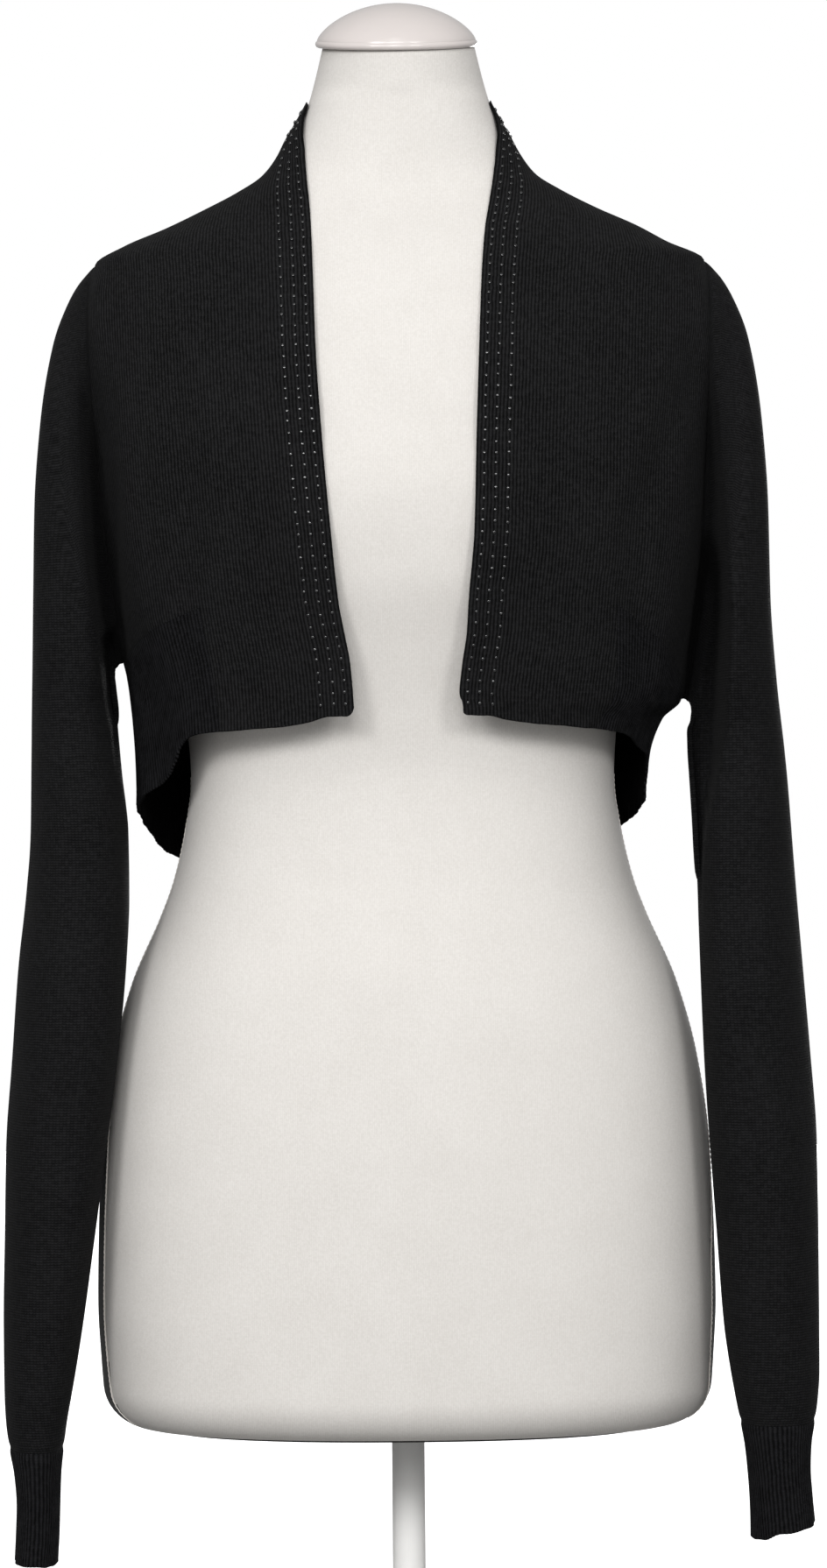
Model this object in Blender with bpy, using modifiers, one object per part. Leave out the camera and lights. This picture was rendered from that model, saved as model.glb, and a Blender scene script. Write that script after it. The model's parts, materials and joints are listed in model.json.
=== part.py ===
"""A cropped open-front knit cardigan, worn by a limbless dress form on a short table stand.

Every cloth piece is a wall with its own thickness, laid out from tables of sections. Metres, +Z up.
The form faces -Y, so the wearer's left is +X and the wearer's right is -X. The origin is the
middle of the base plate's underside. Tables are in millimetres and degrees.
"""

from collections import namedtuple
from math import asin, cos, degrees, exp, pi, radians, sin, sqrt

import bmesh
import bpy
from mathutils import Matrix, Vector

MM = 0.001
CLOTH = 1.6  # fine knit, doubled by its own loops
SEAM_GAP = 0.3
HALF_GAP = SEAM_GAP / 2
SLOPED_GAP = 0.7 * SEAM_GAP  # half a gap measured upright, where the seam slopes
RIGHT, LEFT = -1, 1  # the wearer's sides, as the sign of X
SIDE, BACK, WHOLE = 90.0, 180.0, 360.0  # turns of a side seam, of the middle of the back, once round

# Stand and neck cap
BASE_RADIUS = 125.0
BASE_THICK = 6.0
BASE_EDGE = 2.0
POLE_RADIUS = 9.0
BOARD_THICK = 2.4  # dark board closing the form's underside
BOARD_INSET = 38.0  # from the form's widest outline
FORM_BOTTOM = 114.0
FOOT_ROUNDING = 22.0
NECK_TILT = 10.0  # the neck's top plane leans forward, as on a person
NECK_TOP = 870.5
CAP_RADIUS = 44.6
CAP_LIP = 4.0
CAP_RISE = 24.0
DOME_INSET = 1.0  # between the dome's foot and the lip's outline
DOME_FULLNESS = 1.45  # 1 is an ellipse, 2 a cone with a round tip
FORM_SHOULDER = 740.0  # above this, the form's rings follow its table row by row

# Cardigan
SHOULDER_TIP = 752.0
NECK_POINT = 838.0  # where the front edge meets the shoulder seam at the side of the neck
UNDERARM = {RIGHT: 533.0, LEFT: 511.0}
RIB_TOP = 560.0  # the hem ribbing's top corner, at its front edge
RIB_DEPTH = 67.0
CUFF_TOP = {RIGHT: 107.0, LEFT: 118.5}
HEM_FRONT = 500.0  # near the hem's height at the front edges
UNDERARM_RISE = 6.0  # from the ribbing's top, at the side seam, to the armhole

# The form, as level sections: half its width, its depth to the front and to the back.
FormSection = namedtuple("FormSection", "z half_width front back")
FORM = (
    FormSection(114, 165.6, 114.0, 117.0),
    FormSection(150, 168.4, 115.5, 118.5),
    FormSection(182, 170.0, 116.0, 119.5),
    FormSection(225, 169.2, 115.5, 119.0),
    FormSection(269, 166.5, 114.0, 115.0),
    FormSection(317, 160.0, 110.0, 107.0),
    FormSection(356, 149.5, 104.5, 97.0),
    FormSection(395, 132.6, 95.0, 84.5),
    FormSection(414, 125.8, 90.5, 79.0),
    FormSection(442, 119.5, 86.0, 74.0),
    FormSection(466, 116.4, 84.5, 72.0),
    FormSection(500, 118.5, 90.0, 75.0),
    FormSection(540, 127.0, 101.0, 83.0),
    FormSection(580, 137.0, 113.0, 91.5),
    FormSection(620, 144.0, 117.4, 96.5),
    FormSection(660, 150.0, 110.5, 97.3),
    FormSection(700, 155.5, 99.0, 95.2),
    FormSection(730, 159.5, 85.5, 88.0),
    FormSection(745, 159.5, 78.0, 82.0),
    FormSection(754, 154.0, 72.5, 77.0),
    FormSection(762, 144.0, 67.5, 71.5),
    FormSection(771, 124.5, 60.5, 64.5),
    FormSection(781, 102.5, 53.5, 57.5),
    FormSection(791, 84.0, 48.0, 52.0),
    FormSection(800, 71.4, 46.0, 49.5),
    FormSection(810, 63.6, 45.2, 48.2),
    FormSection(820, 58.3, 44.8, 47.2),
    FormSection(829, 53.8, 44.6, 46.4),
    FormSection(839, 49.3, 44.2, 45.4),
)
# The neck above the garment leans with its top: its rings tip forward little by little.
NeckRing = namedtuple("NeckRing", "z half_width half_depth shift tilt")
NECK = (
    NeckRing(847, 47.2, 44.2, -1.0, 3.0),
    NeckRing(856, 45.3, 43.4, -2.4, 6.0),
    NeckRing(864, 43.4, 42.6, -4.0, 8.5),
    NeckRing(NECK_TOP, 41.8, 41.5, -5.6, NECK_TILT),
)
NECK_SWAY = 1.2  # the neck stands a little to the wearer's left, from the shoulders up
SWAY_START, SWAY_END = 780.0, 830.0
FORM_SQUARE = 2.3  # exponent of the form's rounded sections
NECK_SQUARE = 2.0  # a plain oval

# The cardigan's body over the form, as level sections of its outer face.
BodySection = namedtuple("BodySection", "z right left front back")
BODY = (
    BodySection(415, 138.0, 130.0, 100.0, 94.5),
    BodySection(438, 146.0, 134.0, 102.5, 95.5),
    BodySection(462, 146.5, 134.4, 105.5, 96.0),
    BodySection(480, 147.0, 136.2, 108.0, 96.5),
    BodySection(500, 148.3, 143.5, 110.5, 97.0),
    BodySection(509, 149.2, 153.5, 111.8, 97.2),
    BodySection(518, 150.3, 156.6, 113.0, 97.5),
    BodySection(538, 154.5, 158.4, 115.5, 98.5),
    BodySection(562, 158.0, 161.0, 118.5, 99.5),
    BodySection(600, 162.5, 165.5, 121.4, 100.8),
    BodySection(650, 166.5, 168.0, 117.4, 102.0),
    BodySection(700, 168.5, 169.0, 103.6, 100.0),
    BodySection(730, 169.2, 169.4, 89.6, 92.4),
    BodySection(752, 167.6, 169.8, 77.5, 82.5),
    BodySection(762, 151.2, 154.0, 71.0, 75.5),
    BodySection(771, 129.4, 134.8, 64.0, 68.5),
    BodySection(781, 108.2, 112.6, 57.5, 62.0),
    BodySection(791, 88.8, 92.4, 52.0, 56.5),
    BodySection(800, 75.0, 77.0, 49.6, 53.5),
    BodySection(810, 66.3, 68.2, 48.4, 52.0),
    BodySection(820, 60.9, 62.6, 48.0, 50.6),
    BodySection(829, 55.6, 58.0, 47.6, 49.8),
    BodySection(839, 50.9, 53.2, 47.2, 48.8),
)
FRONT_SQUARE, BACK_SQUARE = 2.25, 2.6
ARMHOLE_BULGE = 7.5  # how far the sections would run past the armhole seam if the arms weren't cut out
# Beside the armhole the cloth spans the hollow of the shoulder, and lower down it sinks between
# the body and the sleeve: a push forwards in front, backwards behind.
Span = namedtuple("Span", "z push")
SPAN = (
    Span(500, -5.0), Span(530, -8.0), Span(580, -10.0), Span(640, -9.0), Span(675, -4.5),
    Span(697, 0.5), Span(715, 5.0), Span(729, 5.5), Span(742, 2.5), Span(SHOULDER_TIP, 0.0),
)
SPAN_WIDTH = 11.0  # in from the armhole
SPAN_START = 26.0  # from the side seam, where the push starts from nothing

# Front edges: distance from the middle.
Edge = namedtuple("Edge", "z right left")
FRONT_EDGE = (
    Edge(495, 25.5, 31.5),
    Edge(508, 26.0, 31.0),
    Edge(528, 27.5, 33.0),
    Edge(545, 30.5, 35.5),
    Edge(562, 33.5, 36.6),
    Edge(600, 37.3, 40.0),
    Edge(650, 41.6, 41.6),
    Edge(700, 44.8, 43.6),
    Edge(735, 46.0, 45.2),
    Edge(765, 47.2, 47.6),
    Edge(780, 48.3, 50.2),
    Edge(795, 50.0, 52.8),
    Edge(810, 51.5, 55.0),
    Edge(822, 52.4, 56.0),
    Edge(830, 52.3, 55.2),
    Edge(NECK_POINT, 50.0, 52.4),
)

# Hem height round the body: 0 degrees at the middle of the front, 90 at the side, 180 at the back.
Hem = namedtuple("Hem", "turn z")
HEM = {
    RIGHT: (
        Hem(5, 502.0), Hem(13, 501.5), Hem(17, 498.5), Hem(24, 496.2), Hem(34, 494.8), Hem(46, 493.0),
        Hem(53, 488.5), Hem(60, 476.0), Hem(68, 465.5), Hem(78, 458.5), Hem(90, 452.0), Hem(105, 441.5),
        Hem(113, 431.0), Hem(124, 424.0), Hem(145, 423.5), Hem(180, 425.5),
    ),
    LEFT: (
        Hem(5, 502.0), Hem(16, 501.5), Hem(21, 498.8), Hem(28, 497.0), Hem(40, 495.0), Hem(52, 493.0),
        Hem(64, 489.5), Hem(76, 483.0), Hem(88, 474.5), Hem(94, 455.0), Hem(104, 448.0), Hem(115, 442.5),
        Hem(135, 433.0), Hem(180, 425.5),
    ),
}
RIB_TURN = {RIGHT: 39.5, LEFT: 42.0}  # the ribbing's front edge, at its top
RIB_TURN_HEM = {RIGHT: 39.0, LEFT: 46.5}

# Large soft folds in the body, pushed in along the section: where, how wide and how deep.
Fold = namedtuple("Fold", "side turn half_turn low high depth")
BODY_FOLDS = (
    Fold(RIGHT, 62, 15, 400, 560, 8.0),
    Fold(LEFT, 70, 13, 400, 545, 5.0),
    Fold(LEFT, 103, 11, 400, 520, 1.5),
    Fold(RIGHT, 150, 16, 400, 580, 4.5),
    Fold(LEFT, 146, 18, 400, 600, 4.0),
)

# Sleeves below the shoulder, as level sections of an oval tube: distances from the middle, then
# where its depth is centred, half its depth, and how far it is sheared to lie along the hip.
Sleeve = namedtuple("Sleeve", "z outer inner centre half_depth shear")
SLEEVES = {
    RIGHT: (
        Sleeve(505, 203.4, 157.0, -7, 56.5, 0.02),
        Sleeve(472, 203.8, 153.8, -13, 55.0, 0.04),
        Sleeve(440, 204.2, 150.2, -19, 53.5, 0.06),
        Sleeve(405, 206.8, 149.6, -25, 52.0, 0.09),
        Sleeve(366, 211.0, 151.4, -31, 51.0, 0.12),
        Sleeve(317, 214.4, 156.2, -36, 50.0, 0.13),
        Sleeve(269, 217.9, 162.4, -39, 49.0, 0.13),
        Sleeve(221, 218.9, 169.0, -41, 47.5, 0.12),
        Sleeve(172, 219.8, 176.0, -42, 45.0, 0.10),
        Sleeve(140, 219.6, 181.4, -42, 42.5, 0.08),
        Sleeve(122, 218.9, 184.8, -42, 40.0, 0.07),
        Sleeve(106, 216.9, 187.0, -42, 38.0, 0.06),
        Sleeve(92, 214.3, 188.6, -42, 36.6, 0.05),
        Sleeve(76, 213.2, 189.3, -42, 36.0, 0.05),
        Sleeve(60, 213.8, 190.0, -42, 36.0, 0.05),
        Sleeve(44, 214.6, 191.4, -42, 36.5, 0.05),
    ),
    LEFT: (
        Sleeve(490, 209.2, 157.4, -9, 56.0, 0.02),
        Sleeve(462, 211.5, 158.8, -15, 54.5, 0.04),
        Sleeve(438, 213.0, 159.8, -20, 53.5, 0.06),
        Sleeve(405, 215.1, 160.4, -26, 52.0, 0.09),
        Sleeve(366, 217.8, 161.2, -32, 51.0, 0.12),
        Sleeve(317, 221.3, 162.6, -37, 50.0, 0.13),
        Sleeve(269, 224.2, 165.2, -40, 49.0, 0.13),
        Sleeve(221, 224.5, 168.4, -42, 47.0, 0.12),
        Sleeve(172, 224.4, 171.8, -43, 44.5, 0.10),
        Sleeve(143, 224.2, 175.8, -43, 42.0, 0.08),
        Sleeve(120, 221.9, 180.0, -43, 39.5, 0.07),
        Sleeve(105, 219.4, 182.8, -43, 38.0, 0.06),
        Sleeve(92, 218.8, 184.2, -43, 37.0, 0.05),
        Sleeve(76, 219.8, 185.4, -43, 36.0, 0.05),
        Sleeve(54, 221.8, 186.4, -43, 36.0, 0.05),
    ),
}
SLEEVE_SQUARE = 2.3
# Sleeve head: tilted ovals that fan from the armhole to the level tube. Each has an outer and an
# inner point, half a depth and its middle, and bows out along the armhole's own curve.
Head = namedtuple("Head", "outer outer_z inner inner_drop half_depth centre bow")
SLEEVE_HEAD = {
    RIGHT: (
        Head(173.6, 744.5, 157.6, 1.4, 46.0, 1.0, 7.0),
        Head(180.8, 733.0, 158.6, 3.0, 52.5, 0.0, 6.4),
        Head(189.6, 710.0, 159.2, 5.0, 57.0, -1.0, 5.0),
        Head(197.0, 668.0, 159.4, 7.8, 59.0, -2.0, 3.0),
        Head(200.8, 620.0, 159.0, 11.0, 59.0, -3.5, 1.4),
        Head(201.8, 574.0, 158.4, 16.0, 58.5, -5.0, 0.4),
        Head(202.5, 536.0, 157.6, 22.5, 57.5, -6.0, 0.0),
    ),
    LEFT: (
        Head(176.0, 744.5, 157.8, 1.4, 46.0, 1.0, 7.0),
        Head(183.2, 733.0, 158.8, 3.0, 52.5, 0.0, 6.4),
        Head(191.9, 710.0, 159.4, 5.0, 57.0, -1.0, 5.0),
        Head(198.6, 668.0, 159.6, 7.8, 59.0, -2.5, 3.0),
        Head(202.0, 618.0, 159.2, 11.0, 59.0, -4.0, 1.4),
        Head(202.8, 566.0, 158.6, 15.0, 58.5, -6.0, 0.4),
        Head(205.6, 522.0, 157.8, 20.0, 57.5, -7.5, 0.0),
    ),
}
# Cuff hem: height at eight points round the tube, from the outer side over the front.
CUFF_HEM = {
    RIGHT: (44.5, 46.0, 46.5, 45.0, 43.5, 43.0, 43.0, 44.0),
    LEFT: (62.2, 62.5, 61.0, 56.5, 54.5, 56.0, 59.0, 62.0),
}

# Rows of the body: the first row above the ribbing climbs near the side seam and towards the front.
FIRST_RISE = 2.0
NEAR_TURNS = 12.0
FAR_TURNS = 40.0
FAR_RISE = 10.0
EDGE_REACH = 0.985  # the front edge never quite reaches the side
SECTION_RADIUS = 80.0  # the body's, in the sections' middle
SIDE_SPREAD = 3.0  # how much more cloth a turn spans at the side

# Finishes: linear colour and roughness
FINISHES = {
    "black_fine_knit": ((0.012, 0.012, 0.013), 0.85),
    "black_rib_knit": ((0.010, 0.010, 0.011), 0.88),
    "ivory_jersey": ((0.70, 0.68, 0.65), 0.8),
    "ivory_gloss_plastic": ((0.72, 0.68, 0.66), 0.25),
    "white_powder_coat": ((0.75, 0.75, 0.74), 0.4),
    "dark_board": ((0.035, 0.032, 0.03), 0.7),
}

# Mesh steps
ARMHOLE_ROWS = 10
FORM_AROUND = 48
FORM_STEP = 20.0
FOOT_STEPS = 4
SLEEVE_AROUND = 2 * ARMHOLE_ROWS  # so that the sleeve's rim and the armhole share their corners
SLEEVE_ROWS = 13
CUFF_ROWS = 3
JERSEY_COLUMNS = 6  # front edge to the ribbing
SIDE_COLUMNS = 7  # ribbing's front edge to the side seam
BACK_COLUMNS = 20
HEM_ROWS = 4
SHOULDER_LEVELS = (757, 764, 773, 783, 793, 803, 813, 823, 831, NECK_POINT)
CAP_STEPS = 10
LIP_STEPS = 3
LIP_STEP = 45.0
EDGE_SEGMENTS = 2
SHARP_ANGLE = 50.0
MERGE = 0.01
SLOPE_STEP = 0.5  # for the cloth's normals: degrees, and millimetres of height


def along(rows, column, at, key="z"):
    """The value of a column at a key, on a smooth curve that never overshoots its rows."""
    keys = [getattr(row, key) for row in rows]
    values = [getattr(row, column) for row in rows]
    if at <= keys[0]:
        return values[0]
    if at >= keys[-1]:
        return values[-1]
    i = max(k for k in range(len(keys) - 1) if keys[k] <= at)
    steps = [(values[k + 1] - values[k]) / (keys[k + 1] - keys[k]) for k in range(len(keys) - 1)]

    def slope(k):
        if k == 0 or k == len(keys) - 1:
            return steps[min(k, len(steps) - 1)]
        before, after = steps[k - 1], steps[k]
        if before * after <= 0:
            return 0.0
        return 2 * before * after / (before + after)

    width = keys[i + 1] - keys[i]
    t = (at - keys[i]) / width
    return (
        values[i] * (1 + 2 * t) * (1 - t) ** 2
        + values[i + 1] * t * t * (3 - 2 * t)
        + slope(i) * width * t * (1 - t) ** 2
        - slope(i + 1) * width * t * t * (1 - t)
    )


def bump(offset, half):
    """A smooth hill: 1 in the middle, 0 at half its width and beyond."""
    return cos(pi / 2 * min(1.0, abs(offset) / half)) ** 2


def superoval(turn, half_width, front, back, square_front, square_back):
    """A point of a rounded section: turn 0 faces the front, 90 degrees the left side."""
    across, forward = sin(radians(turn)), cos(radians(turn))
    square = square_front if forward > 0 else square_back
    depth = front if forward > 0 else back
    x = half_width * abs(across) ** (2 / square) * (1 if across > 0 else -1)
    y = -depth * abs(forward) ** (2 / square) * (1 if forward > 0 else -1)
    return x, y


# Cardigan body
def signed(turn):
    """The same turn, between -180 and 180."""
    return (turn + BACK) % WHOLE - BACK


def side_of(turn):
    """The wearer's side that a turn lies on. Turns may pass 180."""
    return RIGHT if signed(turn) < 0 else LEFT


def own(turn):
    """A turn counted from the middle of the front on its own side."""
    return abs(signed(turn))


def seam_reach(side, z):
    """The side's distance from the middle, at the side seam, the armhole or the shoulder seam."""
    return along(BODY, "right" if side == RIGHT else "left", z)


def half_width(side, z):
    """As seam_reach, but with the bulge that the armhole cuts off."""
    low = UNDERARM[side]
    middle, half = (low + SHOULDER_TIP) / 2, (SHOULDER_TIP - low) / 2
    inside = max(0.0, 1 - ((z - middle) / half) ** 2)
    return seam_reach(side, z) + ARMHOLE_BULGE * inside


def body_point(turn, z):
    """A point of the cardigan body's outer face."""
    side = side_of(turn)
    front, back = along(BODY, "front", z), along(BODY, "back", z)
    x, y = superoval(turn, half_width(side, z), front, back, FRONT_SQUARE, BACK_SQUARE)
    push = 0.0
    for fold in BODY_FOLDS:
        if fold.side == side:
            height = min(1.0, max(0.0, (fold.high - z) / (fold.high - fold.low)))
            push += fold.depth * bump(own(turn) - fold.turn, fold.half_turn) * sin(pi / 2 * height)
    keep = 1 - push / sqrt(x * x + y * y)
    inwards = (seam_reach(side, z) - abs(x)) / SPAN_WIDTH
    span = along(SPAN, "push", z) * exp(-(inwards**2)) * max(-1.0, min(1.0, y / SPAN_START))
    return Vector((x * keep, y * keep + span, z))


def body_normal(turn, z):
    across = body_point(turn + SLOPE_STEP, z) - body_point(turn - SLOPE_STEP, z)
    upward = body_point(turn, z + SLOPE_STEP) - body_point(turn, z - SLOPE_STEP)
    return across.cross(upward).normalized()


def hem_height(turn):
    return along(HEM[side_of(turn)], "z", own(turn), key="turn")


def edge_turn(side, z):
    """The turn of the front edge at a height."""
    reach = along(FRONT_EDGE, "right" if side == RIGHT else "left", z)
    share = min(EDGE_REACH, reach / half_width(side, z))
    return degrees(asin(share ** (FRONT_SQUARE / 2)))


def armhole_turn(side, z, behind=False):
    """The turn of the armhole's front or back edge, and 90 outside the armhole."""
    share = min(1.0, seam_reach(side, z) / half_width(side, z))
    turn = degrees(asin(share ** ((BACK_SQUARE if behind else FRONT_SQUARE) / 2)))
    if not UNDERARM[side] < z < SHOULDER_TIP:
        turn = SIDE
    return BACK - turn if behind else turn


def rib_top(turn):
    """Height of the ribbing's top seam."""
    side = side_of(turn)
    parallel = hem_height(turn) + RIB_DEPTH
    capped = min(parallel, UNDERARM[side] - UNDERARM_RISE)
    if own(turn) >= SIDE:
        return capped
    start = RIB_TURN[side]
    share = max(0.0, (own(turn) - start) / (SIDE - start))
    return RIB_TOP + (capped - RIB_TOP) * share


def shell(name, outer, inner, material, keep=None, closed=False):
    """A closed wall between two grids of points, leaving out cells where keep is false."""
    mesh = bmesh.new()
    rows, columns = len(outer), len(outer[0])
    skins = [
        [[mesh.verts.new(point * MM) for point in row] for row in grid] for grid in (outer, inner)
    ]
    last = columns if closed else columns - 1
    cells = {
        (i, j) for i in range(rows - 1) for j in range(last) if keep is None or keep(i, j)
    }
    for i, j in cells:
        k = (j + 1) % columns
        corners = ((i, j), (i, k), (i + 1, k), (i + 1, j))
        for skin, order in ((skins[0], 1), (skins[1], -1)):
            mesh.faces.new([skin[a][b] for a, b in corners[::order]])
        neighbours = ((i - 1, j), (i, j + 1), (i + 1, j), (i, j - 1))
        for side, (a, b) in enumerate(neighbours):
            if closed:
                b %= columns
            if (a, b) in cells:
                continue
            start, end = corners[side], corners[(side + 1) % 4]
            mesh.faces.new([
                skins[0][end[0]][end[1]], skins[0][start[0]][start[1]],
                skins[1][start[0]][start[1]], skins[1][end[0]][end[1]],
            ])
    loose = [v for v in mesh.verts if not v.link_faces]
    bmesh.ops.delete(mesh, geom=loose, context="VERTS")
    bmesh.ops.recalc_face_normals(mesh, faces=mesh.faces)
    return mesh_object(name, mesh, material)


def mesh_object(name, mesh, material):
    data = bpy.data.meshes.new(name)
    mesh.to_mesh(data)
    mesh.free()
    data.materials.append(material)
    data.shade_smooth()
    data.set_sharp_from_angle(angle=radians(SHARP_ANGLE))
    made = bpy.data.objects.new(name, data)
    parts.objects.link(made)
    return made


def body_panel(name, turns, heights, material, keep=None):
    """A piece of the body: turns[i][j] and heights[i][j] place each point of its grid."""
    outer = [
        [body_point(turn, z) for turn, z in zip(row, levels)] for row, levels in zip(turns, heights)
    ]
    inner = [
        [point - CLOTH * body_normal(turn, z) for point, turn, z in zip(points, row, levels)]
        for points, row, levels in zip(outer, turns, heights)
    ]
    return shell(name, outer, inner, material, keep)


def spread(start, end, steps):
    return [start + (end - start) * k / steps for k in range(steps + 1)]


# Half a seam gap, as a turn: in the sections' middle, and at the side where a turn spans more cloth.
SEAM_TURN = degrees(HALF_GAP / SECTION_RADIUS)
SIDE_SEAM_TURN = SEAM_TURN / SIDE_SPREAD


def first_row(turn):
    """Height of the row that starts at the armhole's lowest point and keeps just above the ribbing."""
    side = side_of(turn)
    if own(turn) >= SIDE:
        share = (own(turn) - SIDE) / SIDE
        middle = (UNDERARM[LEFT] + UNDERARM[RIGHT]) / 2
        return UNDERARM[side] + (middle - UNDERARM[side]) * share
    before_side = SIDE - own(turn)
    near = max(0.0, 1 - before_side / NEAR_TURNS)
    far = min(1.0, max(0.0, (before_side - NEAR_TURNS) / FAR_TURNS))
    return rib_top(turn) + FIRST_RISE + (UNDERARM_RISE - FIRST_RISE) * near**2 + FAR_RISE * far**2


def armhole_level(side, k):
    """Height of the armhole's edge at its row k."""
    share = (1 - cos(pi * k / ARMHOLE_ROWS)) / 2
    return UNDERARM[side] + (SHOULDER_TIP - UNDERARM[side]) * share


def rise_share(side, k, behind=False):
    """How far row k has risen from the first row to the shoulder tip, so that it meets the armhole."""
    level = armhole_level(side, k)
    first = first_row(side * armhole_turn(side, level, behind))
    return (level - first) / (SHOULDER_TIP - first)


def front_panel(side, name, material):
    """Front edge to side seam, armhole and shoulder seam. The ribbing takes its lower outer corner."""
    turns, heights = [], []
    inner = edge_turn(side, RIB_TOP)
    corner_share = (RIB_TURN[side] - inner) / (SIDE - inner)

    def columns(inner, corner, outer):
        return spread(inner, corner, JERSEY_COLUMNS) + spread(corner, outer, SIDE_COLUMNS)[1:]

    def add(inner, outer, height_at):
        turns.append(columns(inner, inner + (outer - inner) * corner_share, outer))
        heights.append([height_at(side * turn) for turn in turns[-1]])

    for k in range(HEM_ROWS):
        share = k / HEM_ROWS
        corner = RIB_TURN_HEM[side] + (RIB_TURN[side] - RIB_TURN_HEM[side]) * share - SEAM_TURN
        guess = HEM_FRONT + (RIB_TOP - HEM_FRONT) * share
        turns.append(columns(edge_turn(side, guess), corner, SIDE - SIDE_SEAM_TURN))
        heights.append([
            hem_height(side * t) + (RIB_TOP - hem_height(side * t)) * share for t in turns[-1]
        ])
    turns.append(columns(inner, RIB_TURN[side] - SEAM_TURN, SIDE - SIDE_SEAM_TURN))
    heights.append([rib_top(side * t) + SLOPED_GAP for t in turns[-1]])
    add(edge_turn(side, first_row(0)), SIDE - SIDE_SEAM_TURN, first_row)
    for k in range(1, ARMHOLE_ROWS + 1):
        rise = rise_share(side, k)
        at_edge = first_row(0) + (SHOULDER_TIP - first_row(0)) * rise
        outer = armhole_turn(side, armhole_level(side, k)) - SIDE_SEAM_TURN
        add(
            edge_turn(side, at_edge), outer,
            lambda turn: first_row(turn) + (SHOULDER_TIP - first_row(turn)) * rise,
        )
    for level in SHOULDER_LEVELS:
        add(edge_turn(side, level), SIDE - SIDE_SEAM_TURN, lambda t: level)
    turns = [[side * turn for turn in row] for row in turns]
    return body_panel(
        name, turns, heights, material, keep=lambda i, j: i >= HEM_ROWS or j < JERSEY_COLUMNS
    )


def back_panel(name, material):
    """Side seam to side seam, with the armholes, shoulder seams and back neck."""
    turns, heights = [], []
    share = [k / BACK_COLUMNS for k in range(BACK_COLUMNS + 1)]

    def columns(left, right):
        half = BACK_COLUMNS // 2
        return spread(left, BACK, half) + spread(BACK, WHOLE - right, half)[1:]

    side_seams = columns(SIDE + SIDE_SEAM_TURN, SIDE + SIDE_SEAM_TURN)
    turns += [side_seams, side_seams]
    heights.append([rib_top(turn) + SLOPED_GAP for turn in side_seams])
    heights.append([first_row(turn) for turn in side_seams])
    for k in range(1, ARMHOLE_ROWS + 1):
        ends = [armhole_turn(side, armhole_level(side, k), behind=True) for side in (LEFT, RIGHT)]
        left, right = (rise_share(side, k, behind=True) for side in (LEFT, RIGHT))
        turns.append(columns(*(end + SIDE_SEAM_TURN for end in ends)))
        heights.append([
            first_row(turn) + (SHOULDER_TIP - first_row(turn)) * (left + (right - left) * s)
            for turn, s in zip(turns[-1], share)
        ])
    for level in SHOULDER_LEVELS:
        turns.append(side_seams)
        heights.append([level] * len(share))
    return body_panel(name, turns, heights, material)


def ribbing(name, start_top, start_hem, end, steps, material):
    """A stretch of the hem ribbing, between two turns. Its first edge may slant from top to hem."""
    turns, heights = [], []
    for k in range(HEM_ROWS + 1):
        share = k / HEM_ROWS
        row = spread(start_hem + (start_top - start_hem) * share, end, steps)
        turns.append(row)
        heights.append([
            hem_height(turn) + (rib_top(turn) - SLOPED_GAP - hem_height(turn)) * share for turn in row
        ])
    return body_panel(name, turns, heights, material)


# Sleeves
def oval(angle):
    """Across and forward shares of a rounded section: angle 0 is the outer side, 90 the front."""
    across, forward = cos(radians(angle)), sin(radians(angle))
    power = 2 / SLEEVE_SQUARE
    return (
        abs(across) ** power * (1 if across > 0 else -1),
        abs(forward) ** power * (1 if forward > 0 else -1),
    )


def armhole_point(side, angle):
    """The sleeve's sewn edge: the body's armhole, one seam gap further out."""
    low = UNDERARM[side]
    z = (low + SHOULDER_TIP) / 2 + cos(radians(angle)) * (SHOULDER_TIP - low) / 2
    turn = armhole_turn(side, z, behind=sin(radians(angle)) < 0)
    return body_point(side * turn, z) + Vector((side * SEAM_GAP, 0, 0))


def head_point(side, row, angle):
    """A point of one of the tilted ovals that carry the sleeve round from the armhole to hang down."""
    across, forward = oval(angle)
    inner_z = UNDERARM[side] - row.inner_drop
    x = (row.outer + row.inner) / 2 + across * (row.outer - row.inner) / 2 + row.bow * (1 - across**2)
    z = (row.outer_z + inner_z) / 2 + across * (row.outer_z - inner_z) / 2
    return Vector((side * x, row.centre - forward * row.half_depth, z))


def sleeve_point(side, angle, z):
    """A point of the hanging sleeve at a height."""
    rows = SLEEVES[side][::-1]
    read = {name: along(rows, name, z) for name in Sleeve._fields[1:]}
    across, forward = oval(angle)
    reach = (read["outer"] - read["inner"]) / 2
    thick = sqrt(reach**2 - (read["shear"] * read["half_depth"]) ** 2)
    y = -forward * read["half_depth"]
    x = (read["outer"] + read["inner"]) / 2 + across * thick + read["shear"] * y
    return Vector((side * x, read["centre"] + y, z))


def tube(name, rings, material):
    """An open-ended wall through rings of points, each running the same way round."""
    inner = []
    for i, ring in enumerate(rings):
        centre = sum(ring, Vector()) / len(ring)
        above, below = rings[max(i - 1, 0)], rings[min(i + 1, len(rings) - 1)]
        level = max(point.z for point in ring) - min(point.z for point in ring) < HALF_GAP
        row = []
        for j, point in enumerate(ring):
            around = ring[(j + 1) % len(ring)] - ring[j - 1]
            normal = around.cross(below[j] - above[j])
            if level:
                normal.z = 0
            normal.normalize()
            if normal.dot(point - centre) < 0:
                normal = -normal
            row.append(point - CLOTH * normal)
        inner.append(row)
    return shell(name, rings, inner, material, closed=True)


def around(steps):
    return [WHOLE * k / steps for k in range(steps)]


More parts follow.
